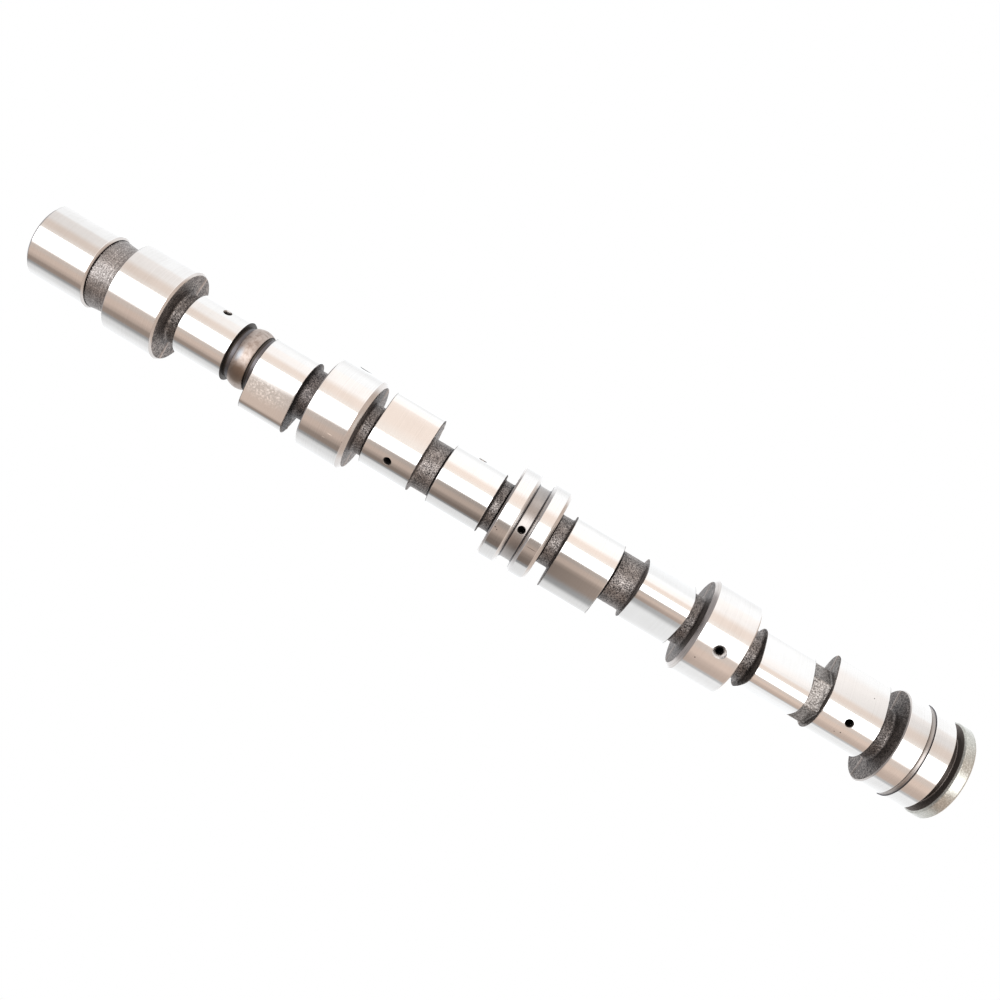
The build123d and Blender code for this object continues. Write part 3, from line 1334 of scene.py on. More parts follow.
@dataclass
class CrownedRing:
    """The crowned ring turned on the neck between the lobes of the first cylinder."""

    middle: float
    lobe_face: float
    width: float = 6.8
    edge_radius: float = 12.1
    crown_radius: float = 13.0
    floor_radius: float = 11.2
    crown_steps: int = 16
    root: float = 0.25
    overlap: float = 0.5
    edge: float = 0.12
    shade: float = 1.0

    def build(self, bottom: float, top: float) -> bpy.types.Object:
        """Turns the ring and the floors of the two narrow grooves beside it.

        Args:
            bottom: Height of the rear lobe's face.
            top: Height of the front lobe's face.

        Returns:
            The new object.
        """
        half = self.width / 2
        rise = self.crown_radius - self.edge_radius
        shares = [i / self.crown_steps for i in range(self.crown_steps + 1)]
        crown = [
            (self.edge_radius + rise * (1 - (2 * t - 1) ** 2), self.middle - half + self.width * t)
            for t in shares
        ]
        low, high = self.middle - half, self.middle + half
        stations = [
            (self.floor_radius, bottom - self.overlap),
            (self.floor_radius, low - self.shade),
            (self.floor_radius, low - self.root),
            (self.floor_radius + self.root, low),
            *crown,
            (self.floor_radius + self.root, high),
            (self.floor_radius, high + self.root),
            (self.floor_radius, top - self.shade),
            (self.floor_radius, top + self.overlap),
        ]
        piece = turned("crowned_ring", stations)
        soften_rings(piece, self.edge, 30.0)
        return piece

    def dress(self, piece: bpy.types.Object, finishes: Finishes) -> None:
        """Gives the crown its stained finish and the grooves a dark turned one, with painted
        shade:
        dark grey, and black in the deepest strips.

        Args:
            piece: The built ring.
            finishes: The shaft's finishes.
        """
        piece.data.materials.append(finishes.stained)
        half = self.width / 2
        low = self.middle - half
        # Painted shade: the grooves beside the crown are dark grey.
        paint(
            piece,
            finishes.shaded_groove,
            lambda centre, _: abs(centre.z - self.middle) > half + 0.01
            or math.hypot(centre.x, centre.y) < self.edge_radius - 0.1,
        )
        # Painted shade: black beside the front lobe's face and in the rear groove next to the
        # crown.
        paint(
            piece,
            finishes.black,
            lambda centre, _: centre.z > self.lobe_face - self.shade
            or low - self.shade < centre.z < low + 0.01,
        )
        smooth(piece)
        hand_over(piece)


@dataclass
class EndRing:
    """The ring at the rear face and the groove that the thrust plate runs in."""

    width: float = 5.2
    radius: float = 20.0
    chamfer: float = 0.7
    groove_radius: float = 15.5
    groove_top: float = 8.8
    centre_radius: float = 4.0
    pilot_radius: float = 1.5
    pilot_depth: float = 7.8
    tip_radius: float = 0.2
    tip: float = 0.8
    root: float = 0.3
    overlap: float = 0.5
    ring_step: float = 1.2
    edge: float = 0.1

    def build(self) -> bpy.types.Object:
        """Turns the ring and the groove's floor, and drills the centre hole.

        Returns:
            The new object.
        """
        r, c, w = self.radius, self.chamfer, self.width
        stations = [
            (r - c, 0.0),
            *[(r, z) for z in guarded(c, w - c, self.ring_step)],
            (r - c, w),
            (self.groove_radius + self.root, w),
            (self.groove_radius, w + self.root),
            (self.groove_radius, self.groove_top + self.overlap),
        ]
        piece = turned("end_ring", stations)
        soften_rings(piece, self.edge, 30.0)
        seat = (self.centre_radius - self.pilot_radius) * math.sqrt(3.0)
        drill = turned(
            "centre_drill",
            [
                (self.centre_radius + 1.0 / math.sqrt(3.0), -1.0),
                (self.pilot_radius, seat),
                (self.pilot_radius, self.pilot_depth),
                (self.tip_radius, self.pilot_depth + self.tip),
            ],
            BORE_SEGMENTS,
        )
        cut(piece, drill)
        return piece

    def dress(self, piece: bpy.types.Object, finishes: Finishes) -> None:
        """Gives the ring its grained finish, with an oiled thrust face and a black groove, painted
        as shade.

        Args:
            piece: The built ring.
            finishes: The shaft's finishes.
        """
        piece.data.materials.append(finishes.grained)
        paint(
            piece,
            finishes.thrust,
            lambda centre, _: centre.z > self.width - 0.02
            and math.hypot(centre.x, centre.y) < self.radius - self.chamfer,
        )
        # Painted shade: the thrust groove's floor is painted black.
        paint(
            piece,
            finishes.black,
            lambda centre, normal: centre.z > self.width and abs(normal.z) < 0.5,
        )
        smooth(piece)
        hand_over(piece)


class Skin(Enum):
    """Which of the cast finishes a neck has."""

    PLAIN = "skin"
    LIGHT = "light_skin"
    DARK = "dark_skin"
    HEXAGON = "hexagon_skin"


class Neighbour(Enum):
    """What stands beside a neck."""

    JOURNAL = "journal"
    LOBE = "lobe"
    NOSE = "nose"


@dataclass
class SideFace:
    """The as-cast side face of a land that a neck runs into."""

    kind: Neighbour
    height: float
    radius: float = 0.0
    lobe: int = 0
    nose_angle: float = 0.0
    rim: float = 0.25
    profile: CamProfile = field(default_factory=CamProfile)

    def plate(self, above: bool, depth: float, proud: float) -> bpy.types.Object:
        """A plate of the face's outline, sunk into the land with its face just proud.

        Args:
            above: Whether the land lies above the neck.
            depth: How deep the plate reaches into the land.
            proud: How far the plate stands out of the face.

        Returns:
            The new object.
        """
        far = self.height + depth if above else self.height - depth
        near = self.height - proud if above else self.height + proud
        low, high = min(near, far), max(near, far)
        if self.kind is Neighbour.LOBE:
            plate = self.profile.shrunk(self.rim).slab("side_plate", [low, high])
            place(plate, angle=self.nose_angle)
            return plate
        return turned("side_plate", [(self.radius, low), (self.radius, high)], ROUND_SEGMENTS // 2)

    def reach_at(self, angle: float) -> float:
        """Distance from the axis to the outline in a direction.

        Args:
            angle: Direction about Z in degrees.

        Returns:
            The distance in millimetres.
        """
        if self.kind is not Neighbour.LOBE:
            return self.radius
        return self.profile.reach_at(math.radians(angle - self.nose_angle))


@dataclass
class CastNeck:
    """A neck left as cast, with the side faces that it runs into and the mould joint's ridge."""

    name: str
    below: SideFace
    above: SideFace
    seam_angles: Sequence[float]
    skin: Skin = Skin.PLAIN
    radius: float = 10.6
    front_radius: float = 10.6
    fillet: float = 1.3
    front_fillet: float = 1.3
    hexagon: float | None = None
    hexagon_corner: float = -3.0
    first_corner: float = 90.0
    plate_depth: float = 2.0
    proud: float = 0.05
    voxel: float = 0.36
    smoothing: int = 2
    grain_size: float = 0.9
    grain_height: float = 0.16
    grain_level: float = 0.55
    seam_width: float = 1.1
    seam_height: float = 0.35
    seam_edge: float = 0.12
    seam_root: float = 2.0
    seam_overlap: float = 0.5
    face_seam: float = 0.15
    face_seam_root: float = 0.8
    shortest_bar: float = 0.3
    rear_corner: float = 0.0
    front_corner: float = 0.0
    corner_reach: float = 0.9
    hexagon_corner_reach: float = 0.3
    corner_tilt: float = 0.93

    def between(self, front: int, rear: int) -> bool:
        """Whether the neck joins two given lobes."""
        return (self.above.lobe, self.below.lobe) == (front, rear)

    def core(self) -> bpy.types.Object:
        """The neck itself, flared into both faces.

        Returns:
            The new object.
        """
        low, high = self.below.height, self.above.height
        f, g = self.fillet, self.front_fillet
        if self.hexagon is not None:
            corner = self.hexagon / math.sqrt(3.0)
            bar = turned("neck_core", [(corner, low - 1.0), (corner, high + 1.0)], 6)
            place(bar, angle=self.hexagon_corner - self.first_corner)
            return bar
        turns = [math.radians(a) for a in (0, 15, 30, 45, 60, 75, 90)]
        curve = [(1 - math.sin(t), 1 - math.cos(t)) for t in turns]
        stations = [
            (self.radius + f, low - 1.0),
            *[(self.radius + f * out, low + f * along) for out, along in curve],
            *[(self.front_radius + g * out, high - g * along) for out, along in reversed(curve)],
            (self.front_radius + g, high + 1.0),
        ]
        return turned("neck_core", stations, NECK_SEGMENTS)

    def seam(self, angle: float) -> list[bpy.types.Object]:
        """The ridge of the mould joint along the neck and up both side faces.

        Args:
            angle: Direction about Z in degrees.

        Returns:
            The ridge's bars.
        """
        low, high = self.below.height, self.above.height
        stem = self.radius if self.hexagon is None else self.hexagon / 2
        over = self.seam_overlap
        bars = [(stem - self.seam_root, stem + self.seam_height, low - over, high + over)]
        for face, sign in ((self.below, 1.0), (self.above, -1.0)):
            ridge = face.height + sign * (self.proud + self.face_seam)
            ends = sorted((face.height - sign * self.face_seam_root, ridge))
            bars.append((stem - 1.0, face.reach_at(angle), ends[0], ends[1]))
        solids = []
        for inner, outer, bottom, top in bars:
            if outer <= inner + self.shortest_bar:
                continue
            deselect_all()
            bpy.ops.mesh.primitive_cube_add(
                size=1.0,
                location=((inner + outer) / 2 * MM, 0.0, (bottom + top) / 2 * MM),
                scale=((outer - inner) * MM, self.seam_width * MM, (top - bottom) * MM),
            )
            bar = bpy.context.object
            bpy.ops.object.transform_apply(location=True, rotation=True, scale=True)
            with editing(bar):
                bpy.ops.mesh.select_all(action="SELECT")
                bpy.ops.mesh.subdivide(number_cuts=2)
                bpy.ops.mesh.bevel(offset=self.seam_edge * MM, segments=1, affect="EDGES")
            place(bar, angle=angle)
            solids.append(bar)
        return solids

    def thin_backs(self, piece: bpy.types.Object) -> None:
        """Makes one face of the flat back of each side plate, which lies inside its land.

        Args:
            piece: The neck after its skin is made.
        """
        apart, level = 0.02, 0.999
        for back in (self.below.height - self.plate_depth, self.above.height + self.plate_depth):
            with editing(piece):
                found = select_where(
                    piece,
                    Element.FACES,
                    lambda face: abs(face.calc_center_median().z / MM - back) < apart
                    and abs(face.normal.z) > level,
                )
                if found:
                    bpy.ops.mesh.dissolve_faces()

    def build(self) -> bpy.types.Object:
        """Joins neck, side faces and seam, and gives them one rough skin.

        Returns:
            The new object.
        """
        parts = [
            self.core(),
            self.below.plate(False, self.plate_depth, self.proud),
            self.above.plate(True, self.plate_depth, self.proud),
        ]
        if self.above.kind is not Neighbour.NOSE:
            for angle in self.seam_angles:
                parts += self.seam(angle)
        piece = joined(self.name, parts)
        apply_modifier(piece, "REMESH", mode="VOXEL", voxel_size=self.voxel * MM)
        apply_modifier(piece, "SMOOTH", factor=0.5, iterations=self.smoothing)
        self.thin_backs(piece)
        grain = bpy.data.textures.new(f"{self.name}_grain", "CLOUDS")
        grain.noise_scale = self.grain_size * MM
        grain.noise_depth = 2
        apply_modifier(
            piece,
            "DISPLACE",
            texture=grain,
            texture_coords="LOCAL",
            strength=self.grain_height * MM,
            mid_level=self.grain_level,
        )
        return piece

    def dress(self, piece: bpy.types.Object, finishes: Finishes) -> None:
        """Gives the neck its cast skin, with strips of pitch-black painted shade in the corners
        that lie deepest in shade.

        Args:
            piece: The built neck.
            finishes: The shaft's finishes.
        """
        piece.data.materials.append(getattr(finishes, self.skin.value))
        low = self.below.height + self.rear_corner
        high = self.above.height - self.front_corner
        reach = max(self.radius, self.front_radius) + self.corner_reach
        if self.hexagon is not None:
            reach = self.hexagon / math.sqrt(3.0) + self.hexagon_corner_reach
        # Painted shade: pitch-black strips at the neck's ends, beside the lands.
        paint(
            piece,
            finishes.pitch,
            lambda centre, normal: (
                (self.rear_corner > 0.0 and centre.z < low)
                or (self.front_corner > 0.0 and centre.z > high)
            )
            and math.hypot(centre.x, centre.y) < reach
            and abs(normal.z) < self.corner_tilt,
        )
        activate(piece)
        bpy.ops.object.shade_smooth()
        hand_over(piece)


@dataclass
class Camshaft:
    """The whole shaft, built from its layout.

    The corners are the heights of the black strips of painted shade at the ends of the necks.
    """

    layout: Layout = field(default_factory=Layout)
    corner: float = 0.85
    nose_corner: float = 0.4
    nose_neck_radii: tuple[float, float] = (13.8, 15.0)
    nose_neck_fillet: float = 0.15
    ring_side_fillet: float = 2.1
    hexagon: float = 20.4
    hexagon_voxel: float = 0.3

    def lands(self) -> list[Land]:
        """The five journals, from the nose end."""

        def seat(number: int) -> tuple[int, float, float]:
            """Number, height and radius of a journal."""
            return number, self.layout.journal_height(number), self.layout.journal_radius(number)

        return [
            Land(*seat(1), ahead=11.2, behind=11.6, front_chamfer=0.5, rear_chamfer=0.8),
            Land(
                *seat(2),
                ahead=8.2,
                behind=11.8,
                front_chamfer=0.5,
                rear_chamfer=1.7,
                hole_angle=347.0,
                hole_offset=0.9,
                shaded_mouth=True,
            ),
            FeedLand(
                *seat(3),
                ahead=10.7,
                behind=10.7,
                front_chamfer=0.8,
                rear_chamfer=1.3,
                hole_angle=251.5,
            ),
            Land(
                *seat(4),
                ahead=10.1,
                behind=10.3,
                front_chamfer=1.7,
                rear_chamfer=0.5,
                hole_angle=250.5,
                hole_offset=-1.3,
            ),
            RearLand(*seat(5), ahead=10.3, behind=10.15, front_chamfer=0.5, rear_chamfer=0.5),
        ]

    def lobes(self) -> list[CamLobe]:
        """The eight lobes, from the nose end; odd ones are exhaust and even ones intake."""
        lobes = []
        for cylinder in range(1, self.layout.cylinders + 1):
            middle = self.layout.cylinder_height(cylinder)
            intake = self.layout.intake_angle(cylinder)
            gap = self.layout.pair_gaps[cylinder - 1]
            low = middle + self.layout.pair_gap_ahead
            number = 2 * cylinder - 1
            exhaust = CamLobe(
                number, low, middle + self.layout.pair_ahead, intake - self.layout.lobe_separation
            )
            if number == 1:
                exhaust.hole_offset = self.layout.first_hole_offset
            lobes.append(exhaust)
            lobes.append(CamLobe(number + 1, middle - self.layout.pair_behind, low - gap, intake))
        return lobes

    def necks(self, lands: Sequence[Land], lobes: Sequence[CamLobe]) -> list[CastNeck]:
        """Every as-cast neck, from the rear to the nose.

        Args:
            lands: The journals.
            lobes: The lobes.

        Returns:
            The necks, the one between the first two lobes included, which is built as the crowned
            ring.
        """
        spans: list[tuple[float, float, object]] = [(p.bottom, p.top, p) for p in (*lands, *lobes)]
        nose = NoseEnd(self.layout.nose_base, self.layout.length)
        spans.append((nose.bottom, nose.top, nose))
        spans.sort(key=lambda span: span[0])
        necks = []
        for index, (lower, upper) in enumerate(zip(spans, spans[1:])):
            below = self.side_face(lower[2], lower[1], top=True)
            above = self.side_face(upper[2], upper[0], top=False)
            neck = CastNeck(f"cast_neck_{index + 1}", below, above, self.layout.seam_angles)
            if below.height > self.layout.journal_height(3):
                neck.rear_corner = self.corner
            else:
                neck.front_corner = self.corner
            if neck.between(7, 8):
                neck.skin, neck.hexagon = Skin.HEXAGON, self.hexagon
                neck.voxel, neck.smoothing = self.hexagon_voxel, 1
            elif above.kind is Neighbour.NOSE:
                neck.skin, neck.front_corner = Skin.LIGHT, self.nose_corner
                neck.radius, neck.front_radius = self.nose_neck_radii
                neck.fillet = neck.front_fillet = self.nose_neck_fillet
            elif above.lobe == 2:
                # This neck's skin is darkened all over as painted shade.
                neck.skin, neck.front_fillet = Skin.DARK, self.ring_side_fillet
            necks.append(neck)
        return necks

    @staticmethod
    def side_face(piece: object, height: float, top: bool) -> SideFace:
        """Describes one side face of a land.

        Args:
            piece: The land.
            height: Height of the face.
            top: Whether it is the land's front face.

        Returns:
            The face.
        """
        if isinstance(piece, CamLobe):
            return SideFace(
                Neighbour.LOBE,
                height,
                lobe=piece.number,
                nose_angle=piece.nose_angle,
                profile=piece.profile,
            )
        if isinstance(piece, Land):
            chamfer = piece.front_chamfer if top else piece.rear_chamfer
            return SideFace(Neighbour.JOURNAL, height, radius=piece.radius - chamfer)
        return SideFace(Neighbour.NOSE, height, radius=piece.radius - piece.chamfer)

    def finishes(self) -> Finishes:
        """Builds every finish of the shaft.

        Returns:
            The finishes.
        """
        seams = self.layout.seam_angles
        pits_and_shade = (
            Patch(266.7, 233.7, 19.7, 0.4, 0.4),
            Patch(110.1, 230.5, 20.1, 0.32, 0.32),
            Patch(200.1, 241.8, 19.9, 0.5, 0.2),
            Patch(199.1, 239.7, 19.9, 0.3, 0.25),
            Patch(184.2, 240.8, 19.9, 2.6, 0.1),
        )
        cam_pits = (
            Patch(48.6, 226.2, 13.0, 0.25, 0.25),
            Patch(46.5, 230.4, 13.0, 0.3, 0.3),
            Patch(40.7, 316.5, 13.8, 0.28, 0.28),
        )
        scratches_and_highlights = (
            Patch(272.5, 234.4, 19.8, 1.4, 0.25),
            Patch(274.3, 227.4, 19.8, 0.9, 0.2),
        )
        return Finishes(
            # Journals and nose, ground between centres: a mirror across, hair lines round.
            ground=GroundIron(pits_and_shade=pits_and_shade, scratches_and_highlights=scratches_and_highlights).build(),
            # Lobes, ground by a wheel that follows the profile: the same with a shorter chatter.
            cam=GroundIron(
                name="ground_cam_iron", line_colour="#BAB6B2", wave_length=9.0, pits_and_shade=cam_pits
            ).build(),
            # The second lobe: pale, soft mottling in one patch of the mirror.
            mottled_cam=GroundIron(
                name="mottled_cam_iron",
                line_colour="#BAB6B2",
                stain=0.7,
                stain_size=0.9,
                stain_colour="#F2EEEA",
                stain_roughness=0.22,
                stain_patch=Patch(304.0, 226.0, 13.9, 12.5, 5.8),
            ).build(),
            # Chamfers and the nose's front face as the lathe left them: satin, with its lines.
            turned=GroundIron(
                name="turned_iron",
                colour="#BDB6B1",
                line_colour="#8F8883",
                line_pitch=0.4,
                roughness=0.24,
            ).build(),
            # The crowned ring, turned and never ground: a dull brownish bloom with old oil.
            stained=GroundIron(
                name="turned_stained_iron",
                colour="#A3978F",
                line_colour="#8B7F77",
                roughness=0.48,
                stain=0.7,
                stain_size=1.6,
                stain_colour="#7A6B61",
                # The pit patch is painted shade low on the ring, the scratch patch a painted
                # highlight.
                pits_and_shade=(Patch(317.2, 224.0, 12.6, 6.0, 6.4),),
                pit_and_shade_colour="#6A5B50",
                scratches_and_highlights=(Patch(319.8, 260.5, 12.4, 1.8, 3.6),),
                scratch_and_highlight_colour="#A6A8AB",
            ).build(),
            # Walls of the grooves, turned, with painted shade: dark grey with little shine.
            shaded_groove=GroundIron(
                name="shaded_turned_iron",
                colour="#5E5A5B",
                line_colour="#353131",
                roughness=0.42,
            ).build(),
            # Floors of the grooves and tops of the oil holes, turned rough: coarse grey lines.
            groove=GroundIron(
                name="rough_turned_iron",
                colour="#98918C",
                line_colour="#544E4A",
                line_pitch=0.3,
                roughness=0.36,
            ).build(),
            # Bevels and mouths of holes, cut last: clean, bright metal.
            broken=GroundIron(
                name="broken_edge_iron",
                colour="#C4C0BD",
                line_colour="#A29D99",
                line_pitch=0.4,
                roughness=0.3,
            ).build(),
            # The side that the thrust plate runs on, turned and oiled: an even, dull grey.
            thrust=GroundIron(
                name="oiled_turned_iron",
                colour="#827A75",
                line_colour="#625A55",
                roughness=0.55,
            ).build(),
            # Floors and rims deep between two faces, painted nearly black as the shade there.
            black=GroundIron(
                name="shade_black_turned_iron",
                colour="#453F3B",
                line_colour="#2B2623",
                roughness=0.5,
            ).build(),
            # The end ring, chilled and only lightly ground: a fine pale grain.
            grained=GroundIron(
                name="grained_ring_iron",
                colour="#9C9A92",
                line_colour="#7C7972",
                roughness=0.3,
                stain=0.7,
                stain_size=0.5,
                stain_colour="#C0BDB6",
                stain_roughness=0.42,
            ).build(),
            # Necks and side faces as the sand left them: dark, coarse, lighter on the crests, with
            # painted glints and painted shade in the corners.
            skin=CastSkin().build(seams),
            # The neck behind the nose, cast and then roughly turned: lighter, faintly ringed.
            light_skin=CastSkin(
                name="fettled_cast_iron",
                hollow_colour="#5A5552",
                crest_colour="#928B87",
                glint_colour="#B8B2AE",
                grain=0.4,
                relief=0.04,
                roughness=0.46,
                corner_reach=0.8,
                turning=0.14,
            ).build(seams),
            # The short neck behind the second lobe, darkened all over as painted shade, and flat.
            dark_skin=CastSkin(
                name="shade_darkened_cast_iron",
                hollow_colour="#2A2727",
                crest_colour="#6C6562",
                glint_colour="#8A827E",
                relief=0.06,
                roughness=0.5,
            ).build(seams),
            # Painted shade for the corners at the ends of the necks: pitch black.
            pitch=CastSkin(
                name="painted_black_corner_shade",
                hollow_colour="#0B0909",
                crest_colour="#1C1817",
                glint_colour="#2A2523",
                seam_colour="#3A3532",
            ).build(seams),
            # The spanner hexagon, rubbed by the spanner: smoother and evenly grey.
            hexagon_skin=CastSkin(
                name="smooth_cast_iron",
                hollow_colour="#534E4B",
                crest_colour="#938D88",
                glint_colour="#B5AFA9",
                grain=0.6,
                relief=0.06,
                roughness=0.5,
            ).build(seams),
            # Walls of the oil holes, painted black as shade.
            oil_way=OilWay().build(),
        )

    def build(self) -> None:
        """Builds and dresses every piece in order."""
        finishes = self.finishes()
        nose = NoseEnd(self.layout.nose_base, self.layout.length)
        nose.dress(nose.build(), finishes)
        lands, lobes = self.lands(), self.lobes()
        for land in lands:
            land.dress(land.build(), finishes)
        for lobe in lobes:
            lobe.dress(lobe.build(), finishes)
        for neck in self.necks(lands, lobes):
            if neck.between(1, 2):
                middle = (neck.below.height + neck.above.height) / 2
                ring = CrownedRing(middle, neck.above.height)
                ring.dress(ring.build(neck.below.height, neck.above.height), finishes)
                continue
            neck.dress(neck.build(), finishes)
        end_ring = EndRing()
        end_ring.dress(end_ring.build(), finishes)


# ---------------------------------------------------------------------------------------------
# Studio
# ---------------------------------------------------------------------------------------------


class Paper(Enum):
    """Tints of the sheets that hang round the shaft."""

    WHITE = "#FFFFFF"
    PEARL = "#FFF9F5"
    CREAM = "#FFF4EB"
    BEIGE = "#FFEEE2"
    TAN = "#FFE7D7"


@dataclass(frozen=True)
class Sheet:
    """One upright sheet of the tent, between two turns from the camera about the shaft.

    Its brightness is what the ground iron shows of it: level with the shaft's middle, and
    seen towards the nose and the rear end.
    """

    start: float
    end: float
    paper: Paper
    level: float
    nose: float
    rear: float


@dataclass(frozen=True)
class Studio:
    """A tent of paper sheets round the shaft, the brightest of them straight behind the camera.

    Turns and heights of directions are in degrees, the camera's sizes in millimetres.
    """

    camera_azimuth: float = 262.0
    camera_distance: float = 405.25
    camera_height: float = 194.93
    target_height: float = 204.2
    target_side: float = 2.8
    roll: float = 30.87
    lens: float = 36.76
    sensor: float = 36.0
    clip_start: float = 10.0
    floor_size: float = 6000.0
    floor_drop: float = 0.02
    mirror_colour: str = "#C6C3C0"
    strength: float = 4.0
    nose_reach: float = 27.0
    rear_reach: float = 24.0
    quick_start: float = 1.5
    quick_share: float = 0.55
    bow_nose: tuple[float, float, float] = (2.0, 16.0, 12.0)
    bow_rear: tuple[float, float, float] = (5.0, 24.0, 11.0)
    bow_full: float = 36.0
    bow_end: float = 75.0
    cap_start: float = 33.0
    cap_full: float = 43.0
    cap_middle: float = 77.0
    cap_soft: float = 3.0
    nose_cap: tuple[str, str] = ("#9C9898", "#5E5C60")
    rear_cap: tuple[str, str] = ("#CFC0B5", "#F2ECE6")
    sheets: tuple[Sheet, ...] = (
        Sheet(-180.0, -130.0, Paper.WHITE, 0.85, 0.94, 0.97),
        Sheet(-106.0, -90.0, Paper.WHITE, 1.05, 0.92, 1.0),
        Sheet(-83.0, -80.0, Paper.PEARL, 1.15, 0.79, 0.88),
        Sheet(-68.0, -58.0, Paper.PEARL, 1.13, 0.77, 0.77),
        Sheet(-44.0, -32.0, Paper.BEIGE, 0.95, 0.69, 0.74),
        Sheet(-23.5, -19.0, Paper.CREAM, 0.95, 0.76, 0.80),
        Sheet(-17.0, 16.5, Paper.WHITE, 2.6, 2.6, 2.6),
        Sheet(22.0, 31.0, Paper.BEIGE, 0.33, 0.58, 0.66),
        Sheet(41.0, 52.0, Paper.TAN, 0.42, 0.60, 0.70),
        Sheet(63.0, 66.0, Paper.TAN, 0.235, 0.48, 0.57),
        Sheet(74.0, 85.0, Paper.TAN, 0.17, 0.30, 0.52),
        Sheet(90.0, 93.0, Paper.WHITE, 0.24, 0.32, 0.50),
        Sheet(96.5, 98.0, Paper.WHITE, 0.72, 0.52, 0.86),
        Sheet(103.0, 110.0, Paper.WHITE, 0.74, 0.70, 0.83),
        Sheet(127.0, 155.0, Paper.WHITE, 0.76, 0.83, 0.87),
        Sheet(170.0, 180.0, Paper.WHITE, 0.85, 0.94, 0.97),
    )

    def camera_turn(self, tree: Tree, axes: bpy.types.Node) -> Source:
        """Turn of a direction from the camera about the shaft.

        Args:
            tree: The world's node tree.
            axes: Separates the direction into its parts.

        Returns:
            The turn in degrees, from -180 to 180.
        """
        parts = (axes.outputs["Y"], axes.outputs["X"])
        azimuth = add_node(tree, MATH, parts, operation="ARCTAN2")
        degrees = add_node(tree, MATH, (azimuth,), operation="DEGREES")
        turn = add_node(tree, MATH, (self.camera_azimuth, degrees), operation="SUBTRACT")
        return add_node(tree, MATH, (turn, -180.0, 180.0), operation="WRAP")

    def bowed_turn(self, tree: Tree, turn: Source, height: Source) -> Source:
        """The turn with the light's far edge bowed away towards both ends of the shaft.

        Args:
            tree: The world's node tree.
            turn: Turn from the camera in degrees.
            height: Height of the direction above the level in degrees.

        Returns:
            The turn to read the sheets by.
        """
        start, full, most = self.bow_nose
        nose = add_node(tree, RANGE, (height, start, full, 0.0, most))
        start, full, most = self.bow_rear
        rear = add_node(tree, RANGE, (height, -start, -full, 0.0, most))
        bow = add_node(tree, MATH, (nose, rear), operation="ADD")
        rising = add_node(tree, RANGE, (turn, 0.0, self.bow_full, 0.0, 1.0))
        falling = add_node(tree, RANGE, (turn, self.bow_full, self.bow_end, 1.0, 0.0))
        weight = add_node(tree, MATH, (rising, falling), operation="MULTIPLY")
        shift = add_node(tree, MATH, (bow, weight), operation="MULTIPLY")
        return add_node(tree, MATH, (turn, shift), operation="SUBTRACT")

    def glow(self, hex_code: str, brightness: float = 1.0) -> tuple[float, float, float, float]:
        """Light that makes the ground iron show a colour, for the world's strength.

        Args:
            hex_code: The colour to be shown.
            brightness: What it is multiplied by.

        Returns:
            The light's colour.
        """
        mirror = linear(self.mirror_colour)
        tint = linear(hex_code)
        return (*[tint[i] * brightness / mirror[i] / self.strength for i in range(3)], 1.0)

    def round_the_shaft(
        self, tree: Tree, turn: Source, brightness: Callable[[Sheet], float]
    ) -> Source:
        """The tent's colour round the shaft at one height.

        Args:
            tree: The world's node tree.
            turn: Turn from the camera in degrees.
            brightness: Says which brightness of a sheet to use.

        Returns:
            The colour.
        """
        share = add_node(tree, RANGE, (turn, -180.0, 180.0, 0.0, 1.0))
        ramp = add_node(tree, "ShaderNodeValToRGB", (share,))
        stops = ramp.color_ramp.elements
        stops.remove(stops[1])
        edges = [(edge, sheet) for sheet in self.sheets for edge in (sheet.start, sheet.end)]
        for number, (edge, sheet) in enumerate(edges):
            stop = stops.new((edge + 180.0) / 360.0) if number else stops[0]
            stop.position = (edge + 180.0) / 360.0
            stop.color = self.glow(sheet.paper.value, brightness(sheet))
        return ramp

    def reach(self, tree: Tree, turn: Source, height: Source, full: float) -> Source:
        """How far the sheets have changed towards one end of the shaft.

        On the light's near side they change slowly at first, on its far side quickly.

        Args:
            tree: The world's node tree.
            turn: Turn from the camera in degrees.
            height: Height of the direction above the level in degrees, counted towards the end.
            full: Height at which the change is complete.

        Returns:
            The share, from 0 to 1.
        """
        share = add_node(tree, RANGE, (height, 0.0, full, 0.0, 1.0))
        slow = add_node(tree, MATH, (share, 2.0), operation="POWER")
        soon = full * self.quick_share
        quick = add_node(tree, RANGE, (height, self.quick_start, soon, 0.0, 1.0))
        far = add_node(tree, MATH, (turn, 0.0), operation="GREATER_THAN")
        change = add_node(tree, MATH, (quick, slow), operation="SUBTRACT")
        return add_node(tree, MATH, (change, far, slow), operation="MULTIPLY_ADD")

    def cap(self, tree: Tree, colours: tuple[str, str], height: Source) -> Source:
        """The sheet that closes one end of the tent.

        Args:
            tree: The world's node tree.
            colours: Colour of its border and of its middle, as the ground iron shows them.
            height: Height of the direction above the level in degrees, counted towards this end.

        Returns:
            The colour.
        """
        start, end = self.cap_middle - self.cap_soft, self.cap_middle + self.cap_soft
        inner = add_node(tree, RANGE, (height, start, end, 0.0, 1.0))
        border, middle = [self.glow(colour) for colour in colours]
        return add_node(tree, MIX, {0: inner, 6: border, 7: middle}, data_type="RGBA")

    def light_the_room(self) -> None:
        """Builds the world: plain white to the camera, the tent to everything else."""
        world = bpy.data.worlds.new("studio_tent")
        bpy.context.scene.world = world
        world.use_nodes = True
        tree = world.node_tree
        tree.nodes.clear()
        direction = add_node(tree, "ShaderNodeTexCoord").outputs["Generated"]
        axes = add_node(tree, AXES, (direction,))
        rise = add_node(tree, MATH, (axes.outputs["Z"],), operation="ARCSINE")
        height = add_node(tree, MATH, (rise,), operation="DEGREES")
        below = add_node(tree, MATH, (height, -1.0), operation="MULTIPLY")
        turn = self.bowed_turn(tree, self.camera_turn(tree, axes), height)

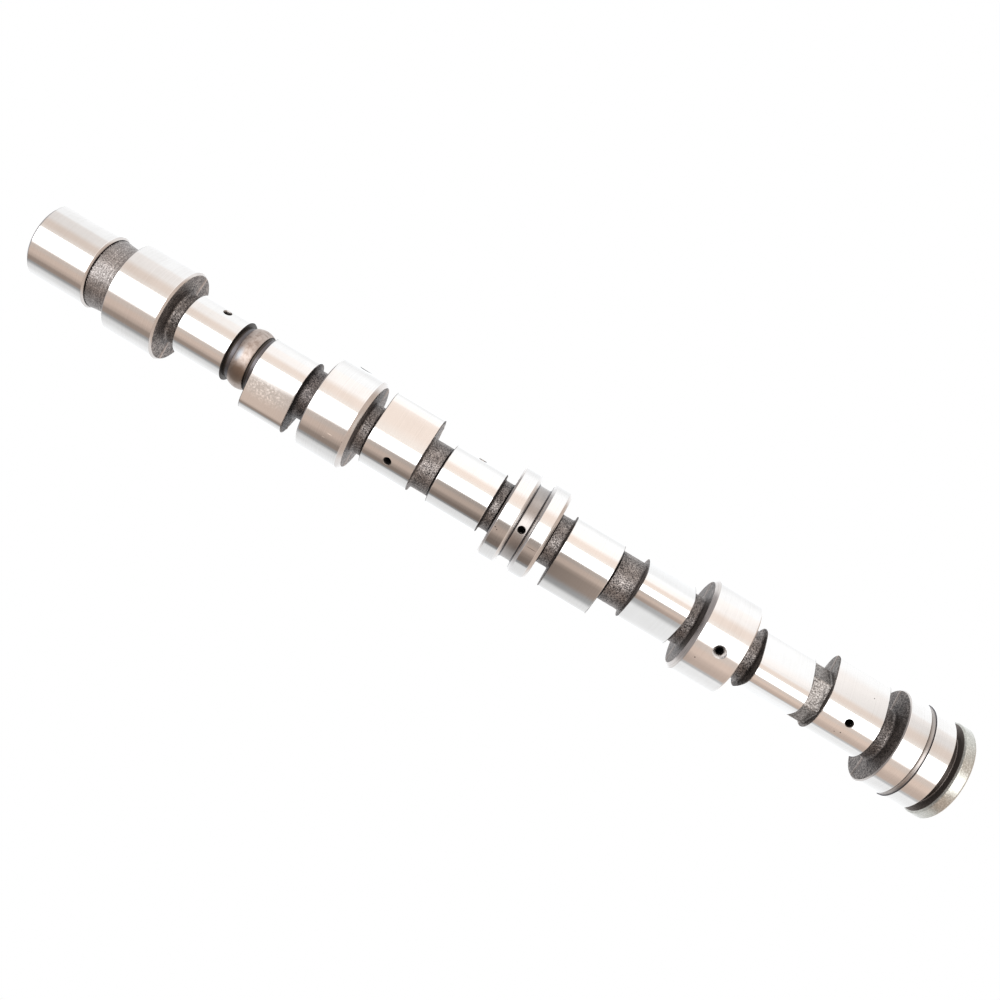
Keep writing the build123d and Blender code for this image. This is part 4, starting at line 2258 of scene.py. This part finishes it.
        tent = self.round_the_shaft(tree, turn, lambda sheet: sheet.level)
        nose = self.round_the_shaft(tree, turn, lambda sheet: sheet.nose)
        rear = self.round_the_shaft(tree, turn, lambda sheet: sheet.rear)
        for share, colour in (
            (self.reach(tree, turn, height, self.nose_reach), nose),
            (self.reach(tree, turn, below, self.rear_reach), rear),
            (
                add_node(tree, RANGE, (height, self.cap_start, self.cap_full, 0.0, 1.0)),
                self.cap(tree, self.nose_cap, height),
            ),
            (
                add_node(tree, RANGE, (below, self.cap_start, self.cap_full, 0.0, 1.0)),
                self.cap(tree, self.rear_cap, below),
            ),
        ):
            tent = add_node(tree, MIX, {0: share, 6: tent, 7: colour}, data_type="RGBA")

        lit = add_node(tree, "ShaderNodeBackground", {"Color": tent, "Strength": self.strength})
        white = add_node(tree, "ShaderNodeBackground", {"Color": WHITE, "Strength": 1.0})
        seen = add_node(tree, "ShaderNodeLightPath").outputs["Is Camera Ray"]
        mixed = add_node(tree, "ShaderNodeMixShader", (seen, lit, white))
        add_node(tree, "ShaderNodeOutputWorld", {"Surface": mixed})

    def lay_floor(self) -> None:
        """Lays the plain white table top that the shaft stands on."""
        deselect_all()
        size, drop = self.floor_size * MM, self.floor_drop * MM
        bpy.ops.mesh.primitive_plane_add(size=size, location=(0.0, 0.0, -drop))
        floor = bpy.context.object
        floor.name = "table_top"
        bpy.ops.object.transform_apply(location=True)
        material = bpy.data.materials.new("white_table")
        material.use_nodes = True
        tree = material.node_tree
        tree.nodes.clear()
        glow = add_node(tree, "ShaderNodeEmission", {"Color": WHITE, "Strength": 1.0})
        add_node(tree, "ShaderNodeOutputMaterial", {"Surface": glow})
        floor.data.materials.append(material)
        floor.visible_glossy = False
        floor.visible_diffuse = False
        floor.visible_shadow = False

    def set_camera(self) -> None:
        """Places the camera level with the shaft's middle and rolls it."""
        azimuth = math.radians(self.camera_azimuth)
        out = Vector((math.cos(azimuth), math.sin(azimuth), 0.0))
        side = Vector((-out.y, out.x, 0.0))
        eye = (out * self.camera_distance + Vector((0.0, 0.0, self.camera_height))) * MM
        target = (side * self.target_side + Vector((0.0, 0.0, self.target_height))) * MM
        ahead = (target - eye).normalized()
        down_shaft = Vector((0.0, 0.0, -1.0))
        level_right = (down_shaft - ahead * down_shaft.dot(ahead)).normalized()
        level_down = ahead.cross(level_right)
        turn = math.radians(self.roll)
        right = level_right * math.cos(turn) - level_down * math.sin(turn)
        down = level_right * math.sin(turn) + level_down * math.cos(turn)
        data = bpy.data.cameras.new("studio_camera")
        data.lens = self.lens
        data.sensor_width = self.sensor
        data.clip_start = self.clip_start * MM
        camera = bpy.data.objects.new("studio_camera", data)
        bpy.context.scene.collection.objects.link(camera)
        basis = Matrix((right, -down, -ahead)).transposed()
        camera.matrix_world = Matrix.Translation(eye) @ basis.to_4x4()
        bpy.context.scene.camera = camera

    def build(self) -> None:
        """Sets camera, light and floor."""
        self.set_camera()
        self.light_the_room()
        self.lay_floor()
        bpy.context.scene.view_settings.view_transform = "Standard"


def main() -> None:
    """Builds the studio and the shaft."""
    logging.basicConfig(level=logging.INFO, format="%(name)s: %(message)s")
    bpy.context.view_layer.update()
    Studio().build()
    Camshaft().build()


if __name__ == "__main__":
    main()
